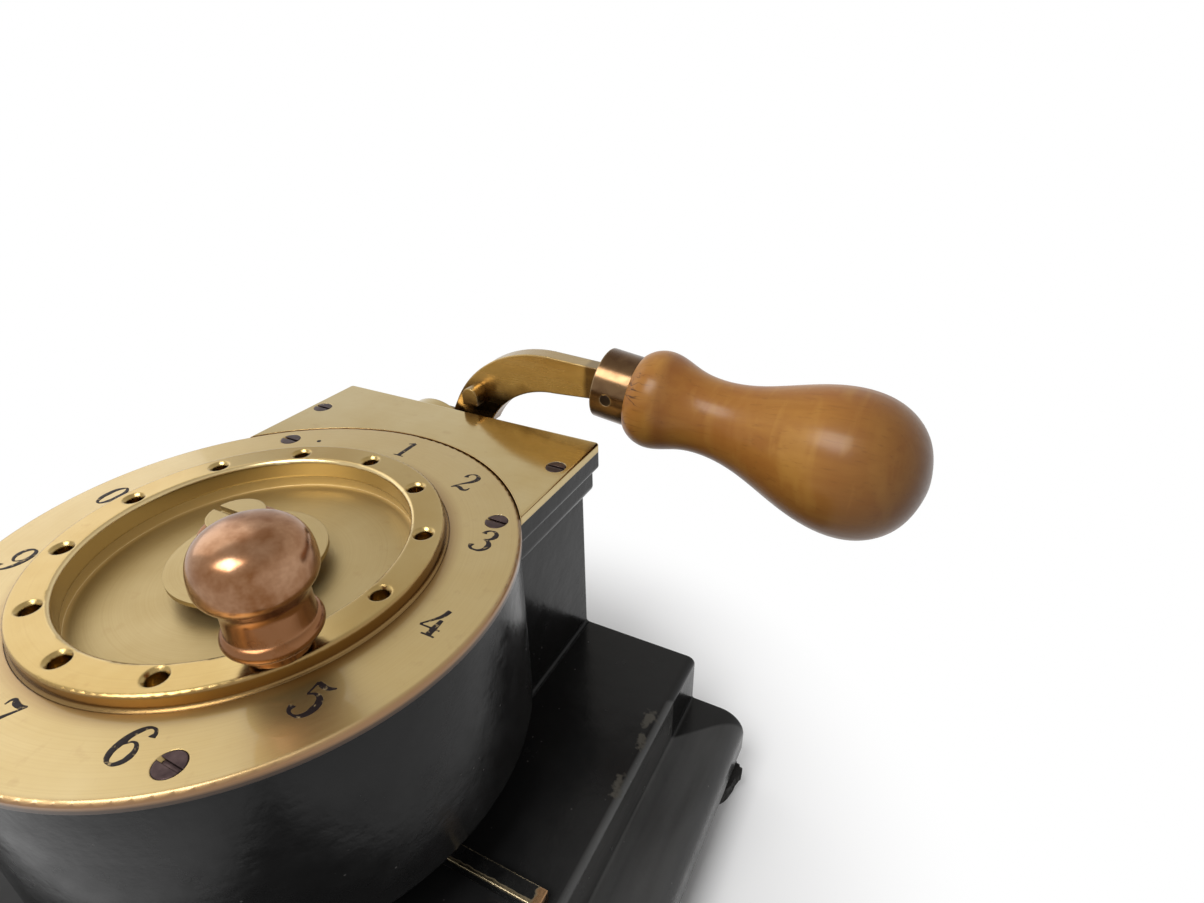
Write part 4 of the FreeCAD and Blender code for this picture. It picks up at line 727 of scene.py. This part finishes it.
grip_low, grip_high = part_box("wood_handle")
collar, grip_end, grip_bottom = grip_low[0], grip_high[0], grip_low[2]
near_collar = wood.window(wood.axis("X"), collar + 0.004, collar + 0.013, 1, 0)
past_collar = wood.window(wood.axis("X"), collar + 0.009, collar + 0.0115)
before_neck = wood.window(wood.axis("X"), collar + 0.0125, collar + 0.016, 1, 0)
groove = wood.sums("MULTIPLY", past_collar, before_neck)
split = wood.window(wood.sums("ABSOLUTE", wood.sums("SUBTRACT", checks, 0.5)), 0.0, 0.014, 1, 0)
dried = wood.sums("MULTIPLY", near_collar, wood.window(mottle, 0.42, 0.55))
crack = wood.sums("MULTIPLY", split, dried)
# Painted shade: darker towards the round end and towards the underside.
end_shade = wood.window(wood.axis("X"), grip_end - 0.026, grip_end - 0.001, 0.0, 0.75)
underside_shade = wood.window(wood.axis("Z"), grip_bottom + 0.020, grip_bottom + 0.002, 0.0, 0.35)
honey = wood.blend(wood.spread(fibre), HONEY, DEEP_HONEY)
for share, colour in (
        (wood.window(mottle, 0.38, 0.68, 0.0, 0.55), RED_HONEY),
        (wood.window(curl, 0.52, 0.72, 0.0, 0.40), PALE_CURL),
        (wood.window(pores, 0.58, 0.76, 0.0, 0.35), PORE),
        (wood.sums("MULTIPLY", groove, 0.45), GROOVE),
        (end_shade, END_SHADE),
        (underside_shade, UNDERSIDE_SHADE),
        (wood.sums("MULTIPLY", crack, 0.92), CRACK)):
    honey = wood.blend(share, honey, colour)
wood.set(Base_Color=honey, Roughness=wood.spread(fibre, 0.30, 0.42))
wood.relief(wood.sums("ADD", fibre, wood.spread(curl, 0.0, 0.8)), 0.00008, 0.35)
wear(wood, "wood_handle")

# %% [markdown]
# ## Steel
# What works inside is plain turned steel, with straight strokes from the file. The screw heads in
# the brass have gone brown, so they get a darker steel of their own, and the pin in the ferrule is
# painted nearly black, as the painted shade of the hole it sits in. The springs are drawn wire,
# blue-grey and smoother. One recipe does for all four.

# %% Steel
def steel(name, light, dark, gloss):
    finish = Finish(name, Metallic=1.0)
    grain = finish.noise(0.003, detail=4, where=finish.mapped(scale=(1, 1, 0.15)))
    finish.set(Base_Color=finish.blend(finish.window(grain, 0.35, 0.68), light, dark),
               Roughness=finish.spread(grain, gloss, gloss + 0.14))
    finish.relief(grain, 0.00002, 0.5, corner=0.0003)
    return finish


wear(steel("turned steel", light=(0.52, 0.51, 0.50), dark=(0.36, 0.35, 0.34), gloss=0.28),
     "rock_shaft", "lever_nut", "rocker_arm", "rocker_pin", "plunger_rod", "presser",
     "selector_spindle", "punch_wheel", "wheel_key", "wheel_nut", "set_punches", "idle_punches",
     "index_pin", "guide_plate", "die_plate", "body_bolts", "sole_screws", "foot_screws",
     "guide_screws", "die_screws")
screw_steel = steel("brown screw steel", light=(0.092, 0.062, 0.060), dark=(0.045, 0.029, 0.030),
                    gloss=0.26)
wear(screw_steel, "cover_screws", "dial_screws", "bracket_screws", "fence_screws")
# Painted shade: the pin is painted nearly black, like the dark hole it sits in.
wear(steel("pin painted as shaded hole", light=(0.055, 0.040, 0.030), dark=(0.030, 0.020, 0.016), gloss=0.34),
     "ferrule_pin")
spring_wire = steel("spring wire", light=(0.40, 0.41, 0.43), dark=(0.28, 0.29, 0.31), gloss=0.24)
wear(spring_wire, "return_spring", "set_springs", "idle_springs")

# %% [markdown]
# ## Springs
# Five coil springs shorten when the lever is pulled: one under the plunger's head and one under
# each punch that is pressed. A solid can't shorten, so these coils are made here. A small circle is
# swept by the Screw modifier, which turns it about an axis while it climbs, and the open ends are
# filled. A curve with a round section would do as well, but a screw needs only the pitch and the
# number of turns.

# %% One coil
TURNS = 3.5
STEPS_PER_TURN = 24
WIRE_SIDES = 12


def coil(place, radius, wire, low, high):
    bpy.ops.object.select_all(action="DESELECT")
    bpy.ops.mesh.primitive_circle_add(vertices=WIRE_SIDES, radius=wire / 2,
                                      location=(radius, 0, wire / 2), rotation=(math.pi / 2, 0, 0))
    piece = bpy.context.object
    bpy.ops.object.transform_apply(location=True, rotation=True)
    sweep = piece.modifiers.new("climb", "SCREW")
    sweep.angle = 2 * math.pi * TURNS
    sweep.screw_offset = high - low - wire
    sweep.steps = sweep.render_steps = round(TURNS * STEPS_PER_TURN)
    bpy.ops.object.modifier_apply(modifier="climb")
    bpy.ops.object.mode_set(mode="EDIT")
    bpy.ops.mesh.select_all(action="SELECT")
    bpy.ops.mesh.fill_holes(sides=0)
    bpy.ops.mesh.select_all(action="SELECT")
    bpy.ops.mesh.normals_make_consistent(inside=False)
    bpy.ops.object.mode_set(mode="OBJECT")
    piece.location = (*place, low)
    bpy.ops.object.transform_apply(location=True)
    return piece


print("steps round each coil:", round(TURNS * STEPS_PER_TURN))

# %% [markdown]
# Each coil rides on what presses it. The springs of the four punches move together, so they are
# joined to one piece.

# %% Coils on what presses them
PUNCH_CIRCLE = 0.038
SMOOTH_BELOW = math.radians(50)


def joined(pieces):
    bpy.ops.object.select_all(action="DESELECT")
    for piece in pieces:
        piece.select_set(True)
    bpy.context.view_layer.objects.active = pieces[0]
    if len(pieces) > 1:
        bpy.ops.object.join()
    return bpy.context.object


def set_coils(name, node, body, places, radius, wire):
    low, high = (corner[2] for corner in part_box(node))
    coils = joined([coil(place, radius, wire, low, high) for place in places])
    coils.name = name
    coat(coils.data, spring_wire)
    bpy.ops.object.shade_smooth_by_angle(angle=SMOOTH_BELOW)
    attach(coils, body)
    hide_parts(node)
    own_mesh(coils)
    print(name, "faces:", len(coils.data.polygons))


front, right = (0, -PUNCH_CIRCLE), (PUNCH_CIRCLE, 0)
rear, left = (0, PUNCH_CIRCLE), (-PUNCH_CIRCLE, 0)
set_coils("return_coil", "return_spring", "plunger", [front],
          radius=0.0062, wire=0.0008)
set_coils("punch_coils", "set_springs", "punches", [front, right, rear, left],
          radius=0.0057, wire=0.0007)

# %% [markdown]
# ## Feet
# The feet are old black rubber. Age has split their rims, and crumbs of rubber stand out at the
# corners. The crumbs are in the finish as well, as a noise that makes the rubber patchy and rough.

# %% Rubber
RUBBER_BLACK, RUBBER_GREY = (0.010, 0.010, 0.010), (0.035, 0.033, 0.031)

rubber = Finish("old rubber", Specular_IOR_Level=0.25)
crumbs = rubber.noise(0.0018, detail=4, rough=0.65)
rubber.set(Base_Color=rubber.blend(rubber.window(crumbs, 0.35, 0.7), RUBBER_BLACK, RUBBER_GREY),
           Roughness=rubber.spread(crumbs, 0.6, 0.85))
rubber.relief(crumbs, 0.0005, 0.7)
print("rubber nodes:", len(rubber.tree.nodes))

# %% [markdown]
# Each foot starts as a short cylinder that is a little narrower below. It is cut into small faces,
# and its flank gets a ragged skin from a cloud texture. The modifier is applied, so that the shape
# is in the mesh and looks the same from every side. Sculpting would give a finer skin, but it can't
# be written down.

# %% One foot
feet_low, feet_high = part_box("base_feet")
FOOT_HEIGHT = feet_high[2] - feet_low[2]
FOOT_RADIUS = 0.0096
FOOT_TAPER = 0.90
FLANK_FROM, FLANK_TO = 0.0008, FOOT_HEIGHT - 0.0004
FLANK_SHARE = 0.72

skin_clouds = bpy.data.textures.new("rubber crumbs", "CLOUDS")
skin_clouds.noise_scale = 0.0042
skin_clouds.noise_depth = 3


def pick(piece, chosen):
    """Go into edit mode with only the chosen vertices selected."""
    bpy.ops.object.mode_set(mode="EDIT")
    bpy.ops.mesh.select_all(action="DESELECT")
    bpy.ops.object.mode_set(mode="OBJECT")
    for vertex, wanted in zip(piece.data.vertices, chosen):
        vertex.select = wanted
    bpy.ops.object.mode_set(mode="EDIT")


def ragged_foot(x, y):
    bpy.ops.object.select_all(action="DESELECT")
    bpy.ops.mesh.primitive_cylinder_add(vertices=64, radius=FOOT_RADIUS, depth=FOOT_HEIGHT,
                                        location=(x, y, FOOT_HEIGHT / 2), end_fill_type="TRIFAN")
    foot = bpy.context.object
    bpy.ops.object.transform_apply(location=True)
    pick(foot, [v.co.z < FOOT_HEIGHT / 2 for v in foot.data.vertices])
    bpy.ops.transform.resize(value=(FOOT_TAPER, FOOT_TAPER, 1), center_override=(x, y, 0))
    bpy.ops.mesh.select_all(action="SELECT")
    bpy.ops.mesh.subdivide(number_cuts=3)
    bpy.ops.object.mode_set(mode="OBJECT")
    flank = foot.vertex_groups.new(name="flank")
    flank.add([v.index for v in foot.data.vertices if FLANK_FROM < v.co.z < FLANK_TO
               and math.hypot(v.co.x - x, v.co.y - y) > FOOT_RADIUS * FLANK_SHARE], 1.0, "ADD")
    ragged = foot.modifiers.new("ragged skin", "DISPLACE")
    ragged.texture = skin_clouds
    ragged.texture_coords = "LOCAL"
    ragged.strength = 0.0036
    ragged.mid_level = 0.55
    ragged.vertex_group = "flank"
    bpy.ops.object.modifier_apply(modifier="ragged skin")
    return foot


print("foot in metres:", FOOT_RADIUS, round(FOOT_HEIGHT, 4))

# %% [markdown]
# Three torn tips stick out of each foot. A tip has a heading, a height and a pull. Around its
# place, smaller and smaller patches of the flank are moved outwards in turn, so the pull adds up to
# a point in the middle. By hand, a move with a soft falloff does this, but with no window open it
# moved the whole foot.

# %% Torn feet
TORN_TIPS = ((0.21, 0.0068, 0.0030), (-0.50, 0.0068, 0.0010), (-1.10, 0.0068, 0.0024))
TORN_STEPS = (0.0034, 0.0026, 0.0018, 0.0010)
FOOT_INSET = 0.0115


def tear(foot, x, y):
    for heading, height, pull in TORN_TIPS:
        toward = Vector((math.copysign(math.cos(heading), x), math.sin(heading), 0))
        tip = Vector((x, y, height)) + toward * FOOT_RADIUS
        starts = [(v.co - tip).length for v in foot.data.vertices]
        for reach in TORN_STEPS:
            pick(foot, [start < reach for start in starts])
            bpy.ops.transform.translate(value=toward * pull / len(TORN_STEPS))
            bpy.ops.object.mode_set(mode="OBJECT")


foot_x = feet_high[0] - FOOT_INSET
feet = []
for x in (-foot_x, foot_x):
    for y in (feet_low[1] + FOOT_INSET, feet_high[1] - FOOT_INSET):
        feet.append(ragged_foot(x, y))
        tear(feet[-1], x, y)
rubber_feet = joined(feet)
rubber_feet.name = "rubber_feet"
coat(rubber_feet.data, rubber)
bpy.ops.object.shade_smooth_by_angle(angle=SMOOTH_BELOW)
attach(rubber_feet, "frame")
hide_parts("base_feet")
print("rubber feet faces:", len(rubber_feet.data.polygons))

# %% [markdown]
# ## Numerals
# The numerals are punched in the brass and filled with black. They stand upright, with fat stems,
# hairlines and round ends, as in old printed figures. A font would bring its own shapes, so each
# numeral is drawn as a few pen strokes: points with a pen width, in parts of the numeral's
# height. The nine is the six turned round.

# %% Pen strokes
STEM, HAIR, BALL = 0.088, 0.028, 0.095
SIX = [[(0.20, 0.80, BALL), (0.17, 0.92, 0.045), (0.0, 0.975, 0.032), (-0.17, 0.82, 0.075),
        (-0.25, 0.46, 0.100), (-0.17, 0.12, 0.075), (0.0, 0.02, 0.034), (0.18, 0.12, 0.070),
        (0.23, 0.32, 0.085), (0.12, 0.53, 0.050), (-0.03, 0.57, HAIR), (-0.16, 0.46, HAIR)]]
STROKES = {
    "one": [[(0.0, 0.02, STEM), (0.0, 0.5, STEM), (0.0, 0.93, STEM)],
            [(0.0, 0.96, 0.045), (-0.10, 0.89, 0.036), (-0.21, 0.83, HAIR)],
            [(-0.22, 0.02, HAIR), (0.0, 0.025, 0.032), (0.22, 0.02, HAIR)]],
    "two": [[(-0.20, 0.73, BALL), (-0.22, 0.82, 0.055), (-0.10, 0.96, 0.030), (0.06, 0.97, 0.045),
             (0.22, 0.80, 0.095), (0.16, 0.60, 0.085), (-0.02, 0.40, 0.050), (-0.20, 0.20, 0.032),
             (-0.30, 0.04, HAIR)],
            [(-0.30, 0.04, HAIR), (-0.16, 0.15, 0.055), (0.0, 0.12, 0.072), (0.14, 0.05, 0.062),
             (0.26, 0.08, 0.050), (0.31, 0.22, HAIR)]],
    "three": [[(-0.20, 0.78, BALL), (-0.20, 0.87, 0.055), (-0.06, 0.975, 0.032),
               (0.12, 0.93, 0.060), (0.19, 0.77, 0.090), (0.10, 0.60, 0.050), (-0.05, 0.54, HAIR)],
              [(-0.05, 0.54, HAIR), (0.12, 0.50, 0.055), (0.25, 0.30, 0.100), (0.16, 0.08, 0.060),
               (-0.02, 0.025, 0.034), (-0.20, 0.08, 0.050), (-0.24, 0.22, BALL)]],
    "four": [[(0.12, 0.02, STEM), (0.12, 0.30, STEM), (0.12, 0.58, 0.060)],
             [(0.10, 0.94, 0.078), (0.06, 0.74, 0.070), (-0.08, 0.52, 0.044), (-0.30, 0.26, HAIR)],
             [(-0.30, 0.25, HAIR), (0.0, 0.25, 0.030), (0.31, 0.25, HAIR)],
             [(-0.08, 0.02, HAIR), (0.12, 0.025, 0.032), (0.32, 0.02, HAIR)]],
    "five": [[(-0.22, 0.94, 0.050), (-0.06, 0.90, 0.075), (0.12, 0.90, 0.060), (0.28, 0.98, HAIR)],
             [(-0.23, 0.94, 0.036), (-0.21, 0.76, HAIR), (-0.20, 0.58, HAIR)],
             [(-0.20, 0.58, HAIR), (-0.02, 0.66, 0.042), (0.17, 0.58, 0.085), (0.24, 0.35, 0.100),
              (0.14, 0.09, 0.066), (-0.04, 0.02, 0.034), (-0.21, 0.08, 0.050),
              (-0.24, 0.21, BALL)]],
    "six": SIX,
    "seven": [[(-0.25, 0.78, HAIR), (-0.22, 0.95, 0.045), (-0.05, 0.91, 0.078),
               (0.12, 0.90, 0.066), (0.28, 0.97, HAIR)],
              [(0.28, 0.97, HAIR), (0.12, 0.66, 0.048), (0.0, 0.38, 0.082), (-0.03, 0.05, 0.095)]],
    "eight": [[(0.18, 0.80, 0.060), (0.02, 0.98, 0.034), (-0.17, 0.82, 0.070),
               (-0.06, 0.60, 0.090), (0.13, 0.44, 0.090), (0.22, 0.22, 0.075), (0.0, 0.02, 0.034),
               (-0.22, 0.20, 0.075), (-0.13, 0.42, 0.045), (0.09, 0.58, 0.030),
               (0.18, 0.80, 0.060)]],
    "nine": [[(-x, 1 - y, width) for x, y, width in SIX[0]]],
    "nought": [[(0.0, 0.98, 0.034), (-0.19, 0.78, 0.085), (-0.23, 0.50, 0.100),
                (-0.19, 0.22, 0.085), (0.0, 0.02, 0.034), (0.19, 0.22, 0.085), (0.23, 0.50, 0.100),
                (0.19, 0.78, 0.085), (0.01, 0.98, 0.034)]],
}
print("numerals drawn:", len(STROKES))

# %% [markdown]
# A curve with a round section follows the points of each stroke, and the pen's width is the radius
# at each point. A fine remesh then melts the strokes into one body, which leaves no inner walls
# where they cross, and the body is pressed almost flat, as paint is.

# %% From strokes to a numeral
MELT = 0.013
HEIGHT_BEFORE = 0.09


def pen_stroke(points, size):
    """A round curve through points that hold a place and a pen width."""
    bpy.ops.object.select_all(action="DESELECT")
    bpy.ops.curve.primitive_bezier_curve_add()
    stroke = bpy.context.object
    stroke.data.dimensions = "3D"
    stroke.data.resolution_u = 10
    stroke.data.bevel_depth = size
    stroke.data.bevel_resolution = 3
    stroke.data.use_fill_caps = True
    knots = stroke.data.splines[0].bezier_points
    if len(points) > len(knots):
        knots.add(len(points) - len(knots))
    for knot, (x, y, width) in zip(knots, points):
        knot.co = (x * size, (y - 0.5) * size, 0)
        knot.radius = width
        knot.handle_left_type = "AUTO"
        knot.handle_right_type = "AUTO"
    bpy.ops.object.convert(target="MESH")
    return bpy.context.object


def numeral(name, size, place, thickness):
    body = joined([pen_stroke(points, size) for points in STROKES[name]])
    body.name = "numeral_" + name
    melt = body.modifiers.new("melt", "REMESH")
    melt.mode = "VOXEL"
    melt.voxel_size = size * MELT
    bpy.ops.object.modifier_apply(modifier="melt")
    body.scale = (1, 1, thickness / (size * HEIGHT_BEFORE))
    body.location = place
    bpy.ops.object.transform_apply(location=True, rotation=True, scale=True)
    bpy.ops.object.shade_smooth()
    return body


print("melted at, in parts of the height:", MELT)

# %% [markdown]
# The filling has shrunk and cracked, and here and there it is gone, so that the brass shows. Along
# the far side of each stroke a pale lip is a painted highlight, standing in for the wall of the
# punched groove catching the light. It is coloured from the normal, which turns to that side only
# there.

# %% Black filling
INK, SHOWN_BRASS_AND_HIGHLIGHT = (0.014, 0.009, 0.009), (0.42, 0.31, 0.16)
HIGHLIGHT_SIDE = (-0.45, 0.89, 0)

ink = Finish("black filling", Specular_IOR_Level=0.15)
cracks = ink.noise(0.0011, detail=3)
# Painted highlight: a pale brass lip along one side of each stroke.
painted_lip_highlight = ink.window(ink.facing(HIGHLIGHT_SIDE), 0.10, 0.30)
gone_and_highlight = ink.sums("MAXIMUM", ink.window(cracks, 0.58, 0.70, 0.0, 0.8), painted_lip_highlight)
ink.set(Base_Color=ink.blend(gone_and_highlight, INK, SHOWN_BRASS_AND_HIGHLIGHT), Metallic=gone_and_highlight,
        Roughness=ink.spread(cracks, 0.42, 0.6))
ink.relief(cracks, 0.00004, 0.5)
print("filling nodes:", len(ink.tree.nodes))

# %% [markdown]
# Ten of the twelve settings have a numeral, one step of thirty degrees after the other, clockwise
# from the rear. They stand upright on the dial and not along its radius, so each is only moved to
# its place and never turned. The five was punched a little high.

# %% Numerals on the dial
ORDER = ("one", "two", "three", "four", "five", "six", "seven", "eight", "nine", "nought")
FIRST_ANGLE, STEP_ANGLE = 90, 30
NUMERAL_SIZE = 0.0078
NUMERAL_RADIUS = 0.0510
NUMERAL_LIFT, FIVE_LIFT = 0.00135, 0.0008
INK_THICKNESS = 0.00006

for step, name in enumerate(ORDER):
    turn = math.radians(FIRST_ANGLE - STEP_ANGLE * step)
    lift = NUMERAL_LIFT + (FIVE_LIFT if name == "five" else 0.0)
    place = (NUMERAL_RADIUS * math.cos(turn), NUMERAL_RADIUS * math.sin(turn) + lift, DIAL_TOP)
    mark = numeral(name, NUMERAL_SIZE, place, INK_THICKNESS)
    coat(mark.data, ink)
    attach(mark, "frame")
print("numerals:", len(ORDER), "faces in the last:", len(mark.data.polygons))

# %% [markdown]
# One of the two blank settings has a prick mark, left by the centre punch that set out the dial.
# It is a small disc, extruded and given a rounded rim, and filled with the same black.

# %% Prick mark
PRICK_TURN = math.radians(120)
PRICK_CIRCLE, PRICK_RADIUS = 0.052, 0.0006
PRICK_SUNK, PRICK_HEIGHT, PRICK_ROUNDING = 0.00005, 0.0001, 0.00004

prick_place = (PRICK_CIRCLE * math.cos(PRICK_TURN), PRICK_CIRCLE * math.sin(PRICK_TURN),
               DIAL_TOP - PRICK_SUNK)
bpy.ops.object.select_all(action="DESELECT")
bpy.ops.mesh.primitive_circle_add(vertices=32, radius=PRICK_RADIUS, fill_type="NGON",
                                  location=prick_place)
prick = bpy.context.object
prick.name = "prick_mark"
bpy.ops.object.transform_apply(location=True)
bpy.ops.object.mode_set(mode="EDIT")
bpy.ops.mesh.select_all(action="SELECT")
bpy.ops.mesh.extrude_region_move(TRANSFORM_OT_translate={"value": (0, 0, PRICK_HEIGHT)})
bpy.ops.mesh.select_all(action="SELECT")
bpy.ops.mesh.normals_make_consistent(inside=False)
bpy.ops.object.mode_set(mode="OBJECT")
rounding = prick.modifiers.new("rounding", "BEVEL")
rounding.width = PRICK_ROUNDING
rounding.segments = 2
bpy.ops.object.modifier_apply(modifier="rounding")
coat(prick.data, ink)
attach(prick, "frame")
print("prick mark faces:", len(prick.data.polygons))

# %% [markdown]
# ## The box after dressing
# What was added here has to stay within the box of the solids, but for a hair.
